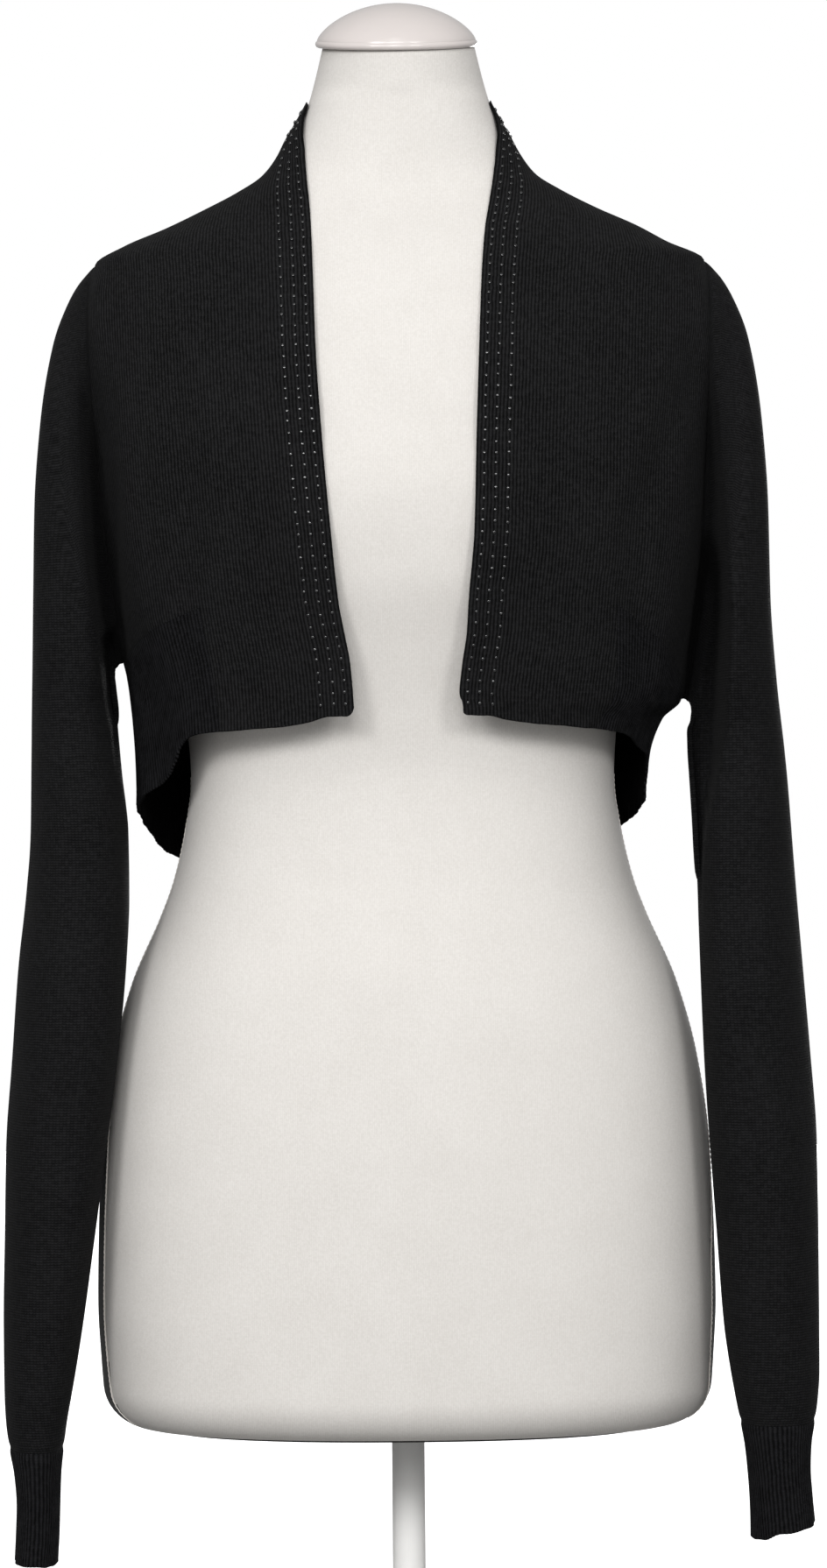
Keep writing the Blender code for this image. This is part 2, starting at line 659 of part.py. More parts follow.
def sleeve(side, name, material):
    rings = [[armhole_point(side, angle) for angle in around(SLEEVE_AROUND)]]
    for row in SLEEVE_HEAD[side]:
        rings.append([head_point(side, row, angle) for angle in around(SLEEVE_AROUND)])
    for z in spread(SLEEVES[side][0].z, CUFF_TOP[side] + HALF_GAP, SLEEVE_ROWS):
        rings.append([sleeve_point(side, angle, z) for angle in around(SLEEVE_AROUND)])
    return tube(name, rings, material)


def cuff_hem(side, angle):
    heights = CUFF_HEM[side]
    place = (angle % WHOLE) / WHOLE * len(heights)
    k = int(place)
    share = (1 - cos(pi * (place - k))) / 2
    return heights[k % len(heights)] * (1 - share) + heights[(k + 1) % len(heights)] * share


def cuff(side, name, material):
    rings = []
    top = CUFF_TOP[side] - HALF_GAP
    for k in range(CUFF_ROWS + 1):
        share = k / CUFF_ROWS
        rings.append([
            sleeve_point(side, angle, top + (cuff_hem(side, angle) - top) * share)
            for angle in around(SLEEVE_AROUND)
        ])
    return tube(name, rings, material)


# Dress form and stand
def form_ring(z):
    """A level ring of the form, drawn in near its foot's rounded edge."""
    below = max(0.0, FORM_BOTTOM + FOOT_ROUNDING - z)
    inset = FOOT_ROUNDING - sqrt(FOOT_ROUNDING**2 - below**2)
    size = [along(FORM, column, z) - inset for column in ("half_width", "front", "back")]
    points = [superoval(turn, *size, FORM_SQUARE, FORM_SQUARE) for turn in around(FORM_AROUND)]
    sway = NECK_SWAY * min(1.0, max(0.0, (z - SWAY_START) / (SWAY_END - SWAY_START)))
    return [Vector((x + sway, y, z)) for x, y in points]


def form_board(name, material):
    """A flat oval board under the form."""
    widest = max(FORM, key=lambda row: row.half_width)
    size = [getattr(widest, column) - BOARD_INSET for column in ("half_width", "front", "back")]
    outline = [superoval(turn, *size, FORM_SQUARE, FORM_SQUARE) for turn in around(FORM_AROUND)]
    high = FORM_BOTTOM - SEAM_GAP
    mesh = bmesh.new()
    top, base = (
        [mesh.verts.new(Vector((x, y, z)) * MM) for x, y in outline] for z in (high, high - BOARD_THICK)
    )
    mesh.faces.new(top)
    mesh.faces.new(base)
    for j in range(FORM_AROUND):
        k = (j + 1) % FORM_AROUND
        mesh.faces.new([base[j], base[k], top[k], top[j]])
    bmesh.ops.recalc_face_normals(mesh, faces=mesh.faces)
    return mesh_object(name, mesh, material)


def neck_ring(row):
    """A neck ring, tipped forward about the wearer's side-to-side axis."""
    tip = Matrix.Rotation(radians(row.tilt), 3, "X")
    points = [
        superoval(turn, row.half_width, row.half_depth, row.half_depth, NECK_SQUARE, NECK_SQUARE)
        for turn in around(FORM_AROUND)
    ]
    return [tip @ Vector((x, y, 0)) + Vector((NECK_SWAY, row.shift, row.z)) for x, y in points]


def dress_form(name, material):
    foot = [
        FORM_BOTTOM + FOOT_ROUNDING * (1 - cos(pi / 2 * k / FOOT_STEPS)) for k in range(FOOT_STEPS)
    ]
    steps = round((FORM_SHOULDER - FORM_BOTTOM - FOOT_ROUNDING) / FORM_STEP)
    trunk = spread(FORM_BOTTOM + FOOT_ROUNDING, FORM_SHOULDER, steps)
    top = [row.z for row in FORM if row.z > FORM_SHOULDER]
    rings = [form_ring(z) for z in foot + trunk + top] + [neck_ring(row) for row in NECK]
    mesh = bmesh.new()
    verts = [[mesh.verts.new(point * MM) for point in ring] for ring in rings]
    for low, high in zip(verts, verts[1:]):
        for j in range(FORM_AROUND):
            k = (j + 1) % FORM_AROUND
            mesh.faces.new([low[j], low[k], high[k], high[j]])
    mesh.faces.new(verts[0])
    mesh.faces.new(verts[-1])
    bmesh.ops.recalc_face_normals(mesh, faces=mesh.faces)
    return mesh_object(name, mesh, material)


def neck_cap(name, material):
    """A glossy dome with a rolled lip, turned from its profile."""
    profile = []
    for k in range(CAP_STEPS + 1):
        angle = pi / 2 * k / CAP_STEPS
        fullness = cos(angle) ** DOME_FULLNESS if k < CAP_STEPS else 0.0
        height = CAP_LIP + (CAP_RISE - CAP_LIP) * fullness
        profile.append(((CAP_RADIUS - DOME_INSET) * sin(angle), height))
    roll = CAP_LIP / 2
    for k in range(LIP_STEPS + 1):
        angle = radians(LIP_STEP * (1 - k))
        profile.append((CAP_RADIUS - roll + roll * cos(angle), roll + roll * sin(angle)))
    profile.append((0, 0))
    mesh = bmesh.new()
    verts = [mesh.verts.new((x * MM, 0, z * MM)) for x, z in profile]
    for start, end in zip(verts, verts[1:]):
        mesh.edges.new((start, end))
    made = mesh_object(name, mesh, material)
    screw = made.modifiers.new("turned", "SCREW")
    screw.steps = screw.render_steps = FORM_AROUND
    screw.use_merge_vertices = True
    screw.merge_threshold = MERGE * MM
    tip = Matrix.Rotation(radians(NECK_TILT), 3, "X")
    neck = NECK[-1]
    made.location = (Vector((0, neck.shift, neck.z)) + tip @ Vector((0, 0, SEAM_GAP))) * MM
    made.rotation_euler = (radians(NECK_TILT), 0, 0)
    return made


def cylinder(name, radius, low, high, edge, material):
    middle = (0, 0, (low + high) / 2 * MM)
    bpy.ops.mesh.primitive_cylinder_add(
        vertices=FORM_AROUND, radius=radius * MM, depth=(high - low) * MM, location=middle
    )
    made = bpy.context.object
    made.name = made.data.name = name
    for collection in made.users_collection:
        collection.objects.unlink(made)
    parts.objects.link(made)
    made.data.materials.append(material)
    made.data.shade_smooth()
    made.data.set_sharp_from_angle(angle=radians(SHARP_ANGLE))
    if edge:
        bevel = made.modifiers.new("edge", "BEVEL")
        bevel.width = edge * MM
        bevel.segments = EDGE_SEGMENTS
    return made


def finish(name, colour, roughness):
    material = bpy.data.materials.new(name)
    material.use_nodes = True
    surface = material.node_tree.nodes["Principled BSDF"]
    surface.inputs["Base Color"].default_value = (*colour, 1)
    surface.inputs["Roughness"].default_value = roughness
    return material


# Set up
for old in list(bpy.data.objects):
    bpy.data.objects.remove(old, do_unlink=True)
parts = bpy.data.collections.new("cardigan_on_dress_form")
bpy.context.scene.collection.children.link(parts)

knit, rib, jersey, plastic, paint, board = (finish(name, *values) for name, values in FINISHES.items())

# Stand and form
cylinder("stand_base", BASE_RADIUS, 0, BASE_THICK, BASE_EDGE, paint)
cylinder(
    "stand_pole", POLE_RADIUS, BASE_THICK + SEAM_GAP, FORM_BOTTOM - BOARD_THICK - 2 * SEAM_GAP, 0, paint
)
form_board("form_board", board)
dress_form("form_torso", jersey)
neck_cap("form_neck_cap", plastic)

# Cardigan
for side, word in ((RIGHT, "right"), (LEFT, "left")):
    front_panel(side, f"front_{word}", knit)
    ribbing(
        f"front_rib_{word}", side * (RIB_TURN[side] + SEAM_TURN), side * (RIB_TURN_HEM[side] + SEAM_TURN),
        side * (SIDE - SIDE_SEAM_TURN), SIDE_COLUMNS, rib,
    )
    sleeve(side, f"sleeve_{word}", knit)
    cuff(side, f"cuff_{word}", rib)
back_panel("back", knit)
back_start = SIDE + SIDE_SEAM_TURN
ribbing("back_rib", back_start, back_start, WHOLE - back_start, BACK_COLUMNS, rib)
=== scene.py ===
# %% [markdown]
# # A cropped black cardigan on a dress form
#
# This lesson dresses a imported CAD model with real-looking surfaces. The cardigan is an open-front
# fine-gauge knit with ribbed hem panels and cuffs, and three rows of small glass beads along its
# opening. It hangs on a limbless dress form, ivory jersey in front and black jersey behind.
#
# The CAD model is the fixed frame. Every piece made here follows the same kind of section tables as
# its solid, with a much finer mesh. A few sections near the shoulders and neck are corrected by up
# to 5 mm, and the folds beside the armholes go deeper than the solid's.

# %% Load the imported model
import json
from collections import namedtuple
from math import pi, radians

import bpy
import numpy as np
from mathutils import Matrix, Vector

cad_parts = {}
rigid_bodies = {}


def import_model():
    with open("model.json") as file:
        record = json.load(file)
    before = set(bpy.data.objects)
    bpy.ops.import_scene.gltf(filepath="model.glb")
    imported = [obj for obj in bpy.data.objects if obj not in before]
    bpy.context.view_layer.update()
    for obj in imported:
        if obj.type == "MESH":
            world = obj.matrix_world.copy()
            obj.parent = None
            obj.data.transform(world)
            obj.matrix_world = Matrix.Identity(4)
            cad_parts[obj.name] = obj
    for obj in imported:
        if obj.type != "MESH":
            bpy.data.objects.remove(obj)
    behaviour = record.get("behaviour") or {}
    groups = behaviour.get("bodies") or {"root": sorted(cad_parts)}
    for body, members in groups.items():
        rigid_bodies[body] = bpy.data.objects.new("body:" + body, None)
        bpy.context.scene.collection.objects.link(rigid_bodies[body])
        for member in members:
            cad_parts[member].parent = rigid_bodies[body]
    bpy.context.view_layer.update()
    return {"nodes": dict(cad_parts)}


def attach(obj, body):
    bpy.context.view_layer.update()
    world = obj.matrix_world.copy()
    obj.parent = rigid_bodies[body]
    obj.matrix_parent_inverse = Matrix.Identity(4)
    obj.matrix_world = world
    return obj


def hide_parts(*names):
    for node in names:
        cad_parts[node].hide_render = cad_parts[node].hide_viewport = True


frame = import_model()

MM = 0.001
RIGHT, LEFT = -1, 1  # the wearer's sides, as the sign of X
print("CAD nodes:", ", ".join(sorted(frame["nodes"])))

# %% [markdown]
# ## Colours and nodes
#
# Colours are given as sRGB hex values, but a renderer works in linear light, so one small
# function converts them. Materials in Blender are graphs of nodes. One more function adds a node,
# sets its options, fills or links its inputs and gives back the output that the next node needs,
# which keeps each material readable as a list of steps. Every finish here ends in the same way, in
# a colour between two shades and a relief in the surface, so that ending is a function too.


# %% Colour and node helpers
def linear(hex_colour):
    """An sRGB colour such as "1a2b3c" as linear RGBA."""
    parts = [int(hex_colour[k : k + 2], 16) / 255 for k in (0, 2, 4)]
    return (*(c / 12.92 if c <= 0.04045 else ((c + 0.055) / 1.055) ** 2.4 for c in parts), 1.0)


def add(tree, kind, inputs=(), output=0, **settings):
    """Add a node. Inputs are values or other nodes' outputs, as a list or by socket name."""
    made = tree.nodes.new(kind)
    for name, value in settings.items():
        setattr(made, name, value)
    for key, value in inputs.items() if isinstance(inputs, dict) else enumerate(inputs):
        if isinstance(value, bpy.types.NodeSocket):
            tree.links.new(value, made.inputs[key])
        else:
            made.inputs[key].default_value = value
    return made.outputs[output]


def new_material(name, **sockets):
    """A material with a Principled shader whose plain sockets are set by name."""
    made = bpy.data.materials.new(name)
    made.use_nodes = True
    shader = made.node_tree.nodes["Principled BSDF"]
    for socket, value in sockets.items():
        shader.inputs[socket.replace("_", " ")].default_value = value
    return made, made.node_tree, shader


def colour_and_relief(tree, shader, share, dark, light, height, strength, depth_mm):
    """Colour a shader between dark and light by a share, and emboss it with a height."""
    colour = add(tree, "ShaderNodeMix", {"Factor": share, "A": dark, "B": light}, 2, data_type="RGBA")
    bump = add(
        tree, "ShaderNodeBump", {"Height": height, "Strength": strength, "Distance": depth_mm * MM}
    )
    tree.links.new(colour, shader.inputs["Base Color"])
    tree.links.new(bump, shader.inputs["Normal"])


print("white in linear light:", linear("ffffff"))

# %% [markdown]
# ## Plain knit
#
# The body and sleeves are stockinette: columns of V-shaped stitches, called wales, crossed by rows
# called courses. The yarn is a matt black viscose and cotton blend, about 13 wales to 25 mm, so a
# wale is 1.95 mm wide and a course 1.4 mm high. Every piece carries a UV map measured in metres
# along the cloth, so the stitches bend with it, as they do on the real garment.
#
# The pattern is arithmetic on those coordinates: the distance from the wale's edge gives its two
# legs, and a slanted course count cuts them into stitches. The hollows between stitches are painted
# darker than their crests, as painted shade, because little light reaches into them.

# %% Plain knit
WALE = 1.95  # mm
COURSE = 1.4
# The hollow colours are reached in the stitches' hollows, as painted shade, and in random darker stitches and
# patches.
KNIT_CREST, KNIT_HOLLOW_SHADE = linear("232324"), linear("030303")
SLEEVE_CREST = linear("212122")
FLAT = {"noise_dimensions": "2D"}  # the cloth has only two coordinates


def cloth_coordinates(tree):
    """The cloth's own coordinates, in millimetres: across the wales and along them."""
    uv = add(tree, "ShaderNodeUVMap", uv_map="cloth")
    scaled = add(tree, "ShaderNodeVectorMath", {0: uv, "Scale": 1 / MM}, operation="SCALE")
    wobble = add(tree, "ShaderNodeTexNoise", {"Vector": scaled, "Scale": 0.11, "Detail": 2.0}, 1, **FLAT)
    centred = add(tree, "ShaderNodeVectorMath", [wobble, (0.5, 0.5, 0.5)], operation="SUBTRACT")
    shift = add(tree, "ShaderNodeVectorMath", {0: centred, "Scale": 0.9}, operation="SCALE")
    return add(tree, "ShaderNodeVectorMath", [scaled, shift], operation="ADD")


def stitches(tree, place, wale, course, wale_depth, course_depth):
    """Height of a stockinette stitch, from 0 in the hollows to 1, and its own random shade."""
    split = add(tree, "ShaderNodeSeparateXYZ", [place]).node
    across = add(tree, "ShaderNodeMath", [split.outputs[0], wale], operation="DIVIDE")
    up = add(tree, "ShaderNodeMath", [split.outputs[1], course], operation="DIVIDE")
    # The leg runs from 0 between two wales to 0.5 in the middle of one
    leg = add(tree, "ShaderNodeMath", [across, 0.5], operation="PINGPONG")
    wide = add(tree, "ShaderNodeMath", [leg, 2 * pi], operation="MULTIPLY")
    wave = add(tree, "ShaderNodeMath", [wide], operation="COSINE")
    legs = add(tree, "ShaderNodeMapRange", [wave, 1, -1, 1 - wale_depth, 1])
    slant = add(tree, "ShaderNodeMath", [leg, 1.1 * wale_depth, up], operation="MULTIPLY_ADD")
    step = add(tree, "ShaderNodeMath", [slant, 0.5], operation="PINGPONG")
    rise = add(tree, "ShaderNodeMapRange", [step, 0, 0.5, 1 - course_depth, 1])
    height = add(tree, "ShaderNodeMath", [legs, rise], operation="MULTIPLY")
    column = add(tree, "ShaderNodeMath", [across], operation="FLOOR")
    row = add(tree, "ShaderNodeMath", [slant], operation="FLOOR")
    cell = add(tree, "ShaderNodeCombineXYZ", [column, row])
    shade = add(tree, "ShaderNodeTexWhiteNoise", [cell], **FLAT)
    return height, shade


def knit_material(name, crest, hollow, wale, course, depths, stitch_height):
    """Matt knitted yarn, with painted shade in its hollows. Depths are how far the gaps between wales and
    between courses sink, 0 to 1.
    """
    material, tree, shader = new_material(
        name, Roughness=0.92, Specular_IOR_Level=0.04, Sheen_Weight=0.01, Sheen_Roughness=0.5
    )
    place = cloth_coordinates(tree)
    height, shade = stitches(tree, place, wale, course, *depths)
    # Worn yarn is never even: single stitches, small fuzzy patches and wide soft areas differ
    patches = add(tree, "ShaderNodeTexNoise", {"Vector": place, "Scale": 0.35, "Detail": 3.0}, **FLAT)
    areas = add(tree, "ShaderNodeTexNoise", {"Vector": place, "Scale": 0.02, "Detail": 2.0}, **FLAT)
    # The stitch height darkens the hollows, as painted shade; stitch tone, patches and areas are random wear.
    uneven = add(tree, "ShaderNodeMath", [shade, 0.35, height], operation="MULTIPLY_ADD")
    uneven = add(tree, "ShaderNodeMath", [patches, 0.15, uneven], operation="MULTIPLY_ADD")
    uneven = add(tree, "ShaderNodeMath", [areas, 0.25, uneven], operation="MULTIPLY_ADD")
    share = add(tree, "ShaderNodeMapRange", [uneven, 0.2, 1.7, 0, 1])
    stitch = add(tree, "ShaderNodeMath", [shade, 0.25, height], operation="MULTIPLY_ADD")
    colour_and_relief(tree, shader, share, hollow, crest, stitch, 0.8, stitch_height)
    return material


# The sleeves are a shade darker and show their courses more than their wales
plain_knit = knit_material("plain_black_knit", KNIT_CREST, KNIT_HOLLOW_SHADE, WALE, COURSE, (1.0, 0.3), 0.3)
sleeve_knit = knit_material(
    "sleeve_black_knit", SLEEVE_CREST, KNIT_HOLLOW_SHADE, WALE, COURSE, (0.4, 0.9), 0.35
)
print("knit materials:", plain_knit.name, sleeve_knit.name)

# %% [markdown]
# ## Rib knit
#
# Ribbing alternates columns of face and back stitches. It pulls together like an accordion, so the
# back stitches vanish into grooves and only narrow rounded ribs show, 2.3 mm apart. The ribs
# themselves are modelled in the mesh further down. The material only adds the small stitches along
# each rib, half a rib wide, and paints the grooves darker, as painted shade.

# %% Rib knit
RIB = 2.3  # mm from rib to rib
RIB_HEIGHT = 0.55
# The hollow colour is painted shade in the grooves between the ribs, and random darker stitches.
RIB_CREST, RIB_HOLLOW_SHADE = linear("202022"), linear("020202")

rib_knit = knit_material("black_rib_knit", RIB_CREST, RIB_HOLLOW_SHADE, RIB, COURSE, (1.0, 0.4), 0.25)
print("rib pitch", RIB, "mm")

# %% [markdown]
# ## The form's jersey
#
# The dress form is covered in fine cotton jersey, ivory in front and black behind. Its stitches are
# about 0.5 mm, too fine to show from across a room, so they are drawn at 0.9 mm here. Cotton is
# matt, with a little sheen from its fibre ends. The jersey is drawn with the same stitch pattern as
# the knit, only smaller and flatter, and its hollows are painted a little darker, as painted shade.


# %% Jersey on the form
JERSEY_STITCH = 0.9  # mm


def jersey_material(name, crest, hollow):
    """Fine matt jersey: the knit's stitches, small and flat, with painted shade in their hollows, under soft
    clouds and fuzz.
    """
    material, tree, shader = new_material(
        name, Roughness=0.85, Specular_IOR_Level=0.3, Sheen_Weight=0.08, Sheen_Roughness=0.6
    )
    place = cloth_coordinates(tree)
    height, shade = stitches(tree, place, JERSEY_STITCH, JERSEY_STITCH, 1.0, 0.5)
    soft = add(tree, "ShaderNodeTexNoise", {"Vector": place, "Scale": 0.03, "Detail": 4.0}, **FLAT)
    fuzz = add(tree, "ShaderNodeTexNoise", {"Vector": place, "Scale": 0.6, "Detail": 2.0}, **FLAT)
    faint = add(tree, "ShaderNodeMath", [soft, 0.35], operation="MULTIPLY")
    # The stitch height darkens the hollows, as painted shade; clouds, stitch tone and fuzz are random tone.
    mixed = add(tree, "ShaderNodeMath", [height, 0.5, faint], operation="MULTIPLY_ADD")
    mixed = add(tree, "ShaderNodeMath", [shade, 0.35, mixed], operation="MULTIPLY_ADD")
    mixed = add(tree, "ShaderNodeMath", [fuzz, 0.4, mixed], operation="MULTIPLY_ADD")
    share = add(tree, "ShaderNodeMapRange", [mixed, 0.2, 1.3, 0, 1])
    colour_and_relief(tree, shader, share, hollow, crest, mixed, 0.4, 0.12)
    return material


# The darker colour of each pair is reached in the stitches' hollows, as painted shade, and in random tone.
ivory_jersey = jersey_material("ivory_cotton_jersey", linear("cdcac6"), linear("bab6b1"))
black_jersey = jersey_material("black_cotton_jersey", linear("1e1e1e"), linear("0c0c0c"))
print("form covers:", ivory_jersey.name, black_jersey.name)

# %% [markdown]
# ## Hard finishes
#
# The neck cap is moulded ABS, an ivory gloss plastic with an IOR of 1.54. The board under the form
# is a plain dark colour, and the stand is powder-coated steel, whose baked paint has a fine
# orange-peel texture. The beads are jet-black pressed glass, the brightest gloss here, and the
# form's seams are overlocked with ivory cotton thread. A faint cloud in the colour and a fine grain
# in the surface are enough for all of them, so one function makes them with different sizes.


# %% Hard finishes
def smooth_material(name, light, dark, grain_mm, bump_mm, **sockets):
    """A hard surface with faint cloudy colour and a fine grain, both fixed to the object."""
    material, tree, shader = new_material(name, **sockets)
    place = add(tree, "ShaderNodeTexCoord", output=3)
    clouds = add(tree, "ShaderNodeTexNoise", {"Vector": place, "Scale": 30.0, "Detail": 3.0})
    grain = add(tree, "ShaderNodeTexNoise", {"Vector": place, "Scale": 1 / (grain_mm * MM), "Detail": 2.0})
    colour_and_relief(tree, shader, clouds, dark, light, grain, 0.5, bump_mm)
    return material


cap_plastic = smooth_material(
    "ivory_moulded_abs", linear("c4bdba"), linear("bbb4b1"), 3.0, 0.01, Roughness=0.18, IOR=1.54
)
# The board under the form is coloured near-black.
board_material = smooth_material(
    "dark_board", linear("302d2b"), linear("1f1c1b"), 0.6, 0.1, Roughness=0.75
)
powder_coat = smooth_material(
    "white_powder_coat", linear("dad9d7"), linear("d2d1cf"), 1.2, 0.05, Roughness=0.38, IOR=1.5
)
seam_thread = smooth_material(
    "ivory_cotton_thread", linear("d8d4ce"), linear("b9b4ad"), 0.4, 0.1, Roughness=0.7
)
jet_glass = smooth_material(
    "jet_bead_glass", linear("101012"), linear("070708"), 0.5, 0.005, Roughness=0.08, IOR=1.7
)
print("hard finishes:", cap_plastic.name, board_material.name, powder_coat.name, jet_glass.name)

# %% [markdown]
# ## Section tables
#
# A form is described by level sections, like a boat: for each height, its reach to the sides, front
# and back. A smooth curve runs through each column of the table. Cubic curves that go level at
# every peak never overshoot the values, so the shape has no accidental waves.


# %% Curves through tables
def table(columns, *rows):
    """Rows of numbers in millimetres or degrees, kept as one array for each named column."""
    return dict(zip(columns.split(), np.array(rows, float).T))


def along(rows, column, at, key="z"):
    """The value of a column at a key, on a smooth curve that never overshoots its rows."""
    keys, values = rows[key], rows[column]
    at = np.clip(np.asarray(at, float), keys[0], keys[-1])
    steps = np.diff(values) / np.diff(keys)
    slopes = np.concatenate([steps[:1], np.zeros(len(steps) - 1), steps[-1:]])
    same = steps[:-1] * steps[1:] > 0
    both = steps[:-1] + steps[1:]
    slopes[1:-1][same] = 2 * (steps[:-1] * steps[1:])[same] / both[same]
    i = np.clip(np.searchsorted(keys, at, side="right") - 1, 0, len(steps) - 1)
    width = keys[i + 1] - keys[i]
    t = (at - keys[i]) / width
    return (
        values[i] * (1 + 2 * t) * (1 - t) ** 2
        + values[i + 1] * t * t * (3 - 2 * t)
        + slopes[i] * width * t * (1 - t) ** 2
        - slopes[i + 1] * width * t * t * (1 - t)
    )


half_way = table("z reach", (0, 10), (100, 20), (200, 20))
print("half way up the first step:", along(half_way, "reach", 50), "mm")

# %% [markdown]
# ## The form's and the cardigan's sections
#
# The form's table starts at its foot and widens over the hips, narrows at the waist and ends at the
# neck, whose top rings lean forward. The cardigan's table starts at its lowest hem. It stands a few
# millimetres off the form at the shoulders and chest, which carry it, and hangs free below them.

# %% Section tables
FORM = table(
    "z half_width front back",
    (114, 165.6, 114.0, 117.0), (150, 168.4, 115.5, 118.5), (182, 170.0, 116.0, 119.5),
    (225, 169.2, 115.5, 119.0), (269, 166.5, 114.0, 115.0), (317, 160.0, 110.0, 107.0),
    (356, 149.5, 104.5, 97.0), (395, 132.6, 95.0, 84.5), (414, 125.8, 90.5, 79.0),
    (442, 119.5, 86.0, 74.0), (466, 116.4, 84.5, 72.0), (500, 118.5, 90.0, 75.0),
    (540, 127.0, 101.0, 83.0), (580, 137.0, 113.0, 91.5), (620, 144.0, 117.4, 96.5),
    (660, 150.0, 110.5, 97.3), (700, 155.5, 99.0, 95.2), (730, 159.5, 85.5, 88.0),
    (745, 159.5, 78.0, 82.0), (754, 154.0, 72.5, 77.0), (762, 144.0, 67.5, 71.5),
    (771, 124.5, 60.5, 64.5), (781, 102.5, 53.5, 57.5), (791, 84.0, 48.0, 52.0),
    (800, 71.4, 46.0, 49.5), (810, 63.6, 45.2, 48.2), (820, 58.3, 44.8, 47.2),
    (829, 54.0, 44.6, 46.4), (839, 50.2, 44.2, 45.4),
)
NECK = table(
    "z half_width half_depth shift tilt",
    (847, 47.8, 44.2, -1.0, 3.0), (856, 45.4, 43.4, -2.4, 6.0),
    (864, 43.4, 42.6, -4.0, 8.5), (870.5, 41.8, 41.5, -5.6, 10.0),
)
BODY = table(
    "z right left front back",
    (415, 138.0, 130.0, 100.0, 94.5), (438, 146.0, 134.0, 102.5, 95.5),
    (462, 146.5, 134.4, 105.5, 96.0), (480, 147.0, 136.2, 108.0, 96.5),
    (500, 148.3, 143.5, 110.5, 97.0), (509, 149.2, 153.5, 111.8, 97.2),
    (518, 150.3, 156.6, 113.0, 97.5), (538, 154.5, 158.4, 115.5, 98.5),
    (562, 158.0, 161.0, 118.5, 99.5), (600, 162.5, 165.5, 121.4, 100.8),
    (650, 166.5, 168.0, 117.4, 102.0),
    (700, 168.5, 169.0, 103.6, 100.0), (730, 169.2, 169.4, 89.6, 92.4),
    (752, 167.0, 168.6, 77.5, 82.5), (762, 151.0, 148.8, 71.0, 75.5),
    (771, 129.4, 132.4, 64.0, 68.5), (781, 108.4, 110.2, 57.5, 62.0),
    (791, 89.0, 90.8, 52.0, 56.5), (800, 75.2, 76.6, 49.6, 53.5),
    (810, 67.2, 68.8, 48.4, 52.0), (820, 62.0, 63.3, 48.0, 50.6),
    (829, 56.8, 58.4, 47.6, 49.8), (839, 51.6, 53.4, 47.2, 48.8),
    (844, 49.4, 51.6, 46.6, 48.2),
)
print("form sections:", len(FORM["z"]), "  cardigan sections:", len(BODY["z"]))

# %% [markdown]
# ## The cardigan's outline
#
# Three more tables hold the reach of the front edges and the height of the hem on each side. The two
# sides differ, because the cardigan hangs a little unevenly. A place on the body is a turn and a
# height: turn 0 is the middle of the front, 90 the wearer's left side seam, -90 the right one and
# 180 the back. The ribbing starts at a turn of its own on each side and is 67 mm deep.

# %% Outline tables
FRONT_EDGE = table(
    "z right left",
    (495, 25.5, 31.5), (508, 26.0, 31.0), (528, 27.5, 33.0), (545, 30.5, 35.5), (562, 33.5, 36.6),
    (600, 37.3, 40.0), (650, 41.6, 41.6), (700, 44.8, 43.6), (735, 46.0, 45.2), (765, 47.2, 47.6),
    (780, 48.3, 50.2), (795, 50.0, 52.8), (810, 51.5, 55.0), (822, 52.4, 56.0), (830, 52.3, 55.2),
    (838, 50.0, 52.4),
)
HEM = {
    RIGHT: table(
        "turn z",
        (5, 502), (13, 501.5), (17, 498.5), (24, 496.2), (34, 494.8), (46, 493), (53, 488.5), (60, 476),
        (68, 465.5), (78, 458.5), (90, 452), (105, 441.5), (113, 431), (124, 424), (145, 423.5), (180, 425.5),
    ),
    LEFT: table(
        "turn z",
        (5, 502), (16, 501.5), (21, 498.8), (28, 497), (40, 495), (52, 493), (64, 489.5), (76, 483),
        (88, 474.5), (94, 455), (104, 448), (115, 442.5), (135, 433), (180, 425.5),
    ),
}
SHOULDER_TIP = 752.0
NECK_POINT = 838.0
UNDERARM = {RIGHT: 533.0, LEFT: 511.0}
UNDERARM_RISE = 6.0  # from the ribbing's top, at the side seam, to the armhole
RIB_TOP, RIB_DEPTH = 560.0, 67.0  # the ribbing's top corner at its front edge, and how deep it is
RIB_TURN = {RIGHT: 39.5, LEFT: 42.0}  # the ribbing's front edge at its top, then at the hem
RIB_TURN_HEM = {RIGHT: 39.0, LEFT: 46.5}


def by_side(turn, right, left):
    """Pick the wearer's right or left value for each turn."""
    return np.where((np.asarray(turn) + 180) % 360 - 180 < 0, right, left)


def own(turn):
    """A turn counted from the middle of the front on its own side, 0 to 180."""
    return np.abs((np.asarray(turn, float) + 180) % 360 - 180)


def hem_height(turn):
    right, left = (along(HEM[side], "z", own(turn), "turn") for side in (RIGHT, LEFT))
    return by_side(turn, right, left)


def rib_top(turn):
    """Height of the hem ribbing's top seam."""
    underarm = by_side(turn, UNDERARM[RIGHT], UNDERARM[LEFT])
    capped = np.minimum(hem_height(turn) + RIB_DEPTH, underarm - UNDERARM_RISE)
    start = by_side(turn, RIB_TURN[RIGHT], RIB_TURN[LEFT])
    share = np.clip((own(turn) - start) / (90 - start), 0, 1)
    return np.where(own(turn) < 90, RIB_TOP + (capped - RIB_TOP) * share, capped)


print("hem at the sides:", float(hem_height(-90)), float(hem_height(90)), "mm")

# %% [markdown]
# ## Large folds
#
# Where a soft piece hangs free, it falls into large folds, and those belong to the form of the
# cloth. Five broad folds draw the body in above the hem. Beside each armhole the cloth first bridges
# the hollow under the shoulder, then sinks into a deep fold between body and sleeve. Tables by
# height say how far, so that each fold can start, deepen and end where the real one does.

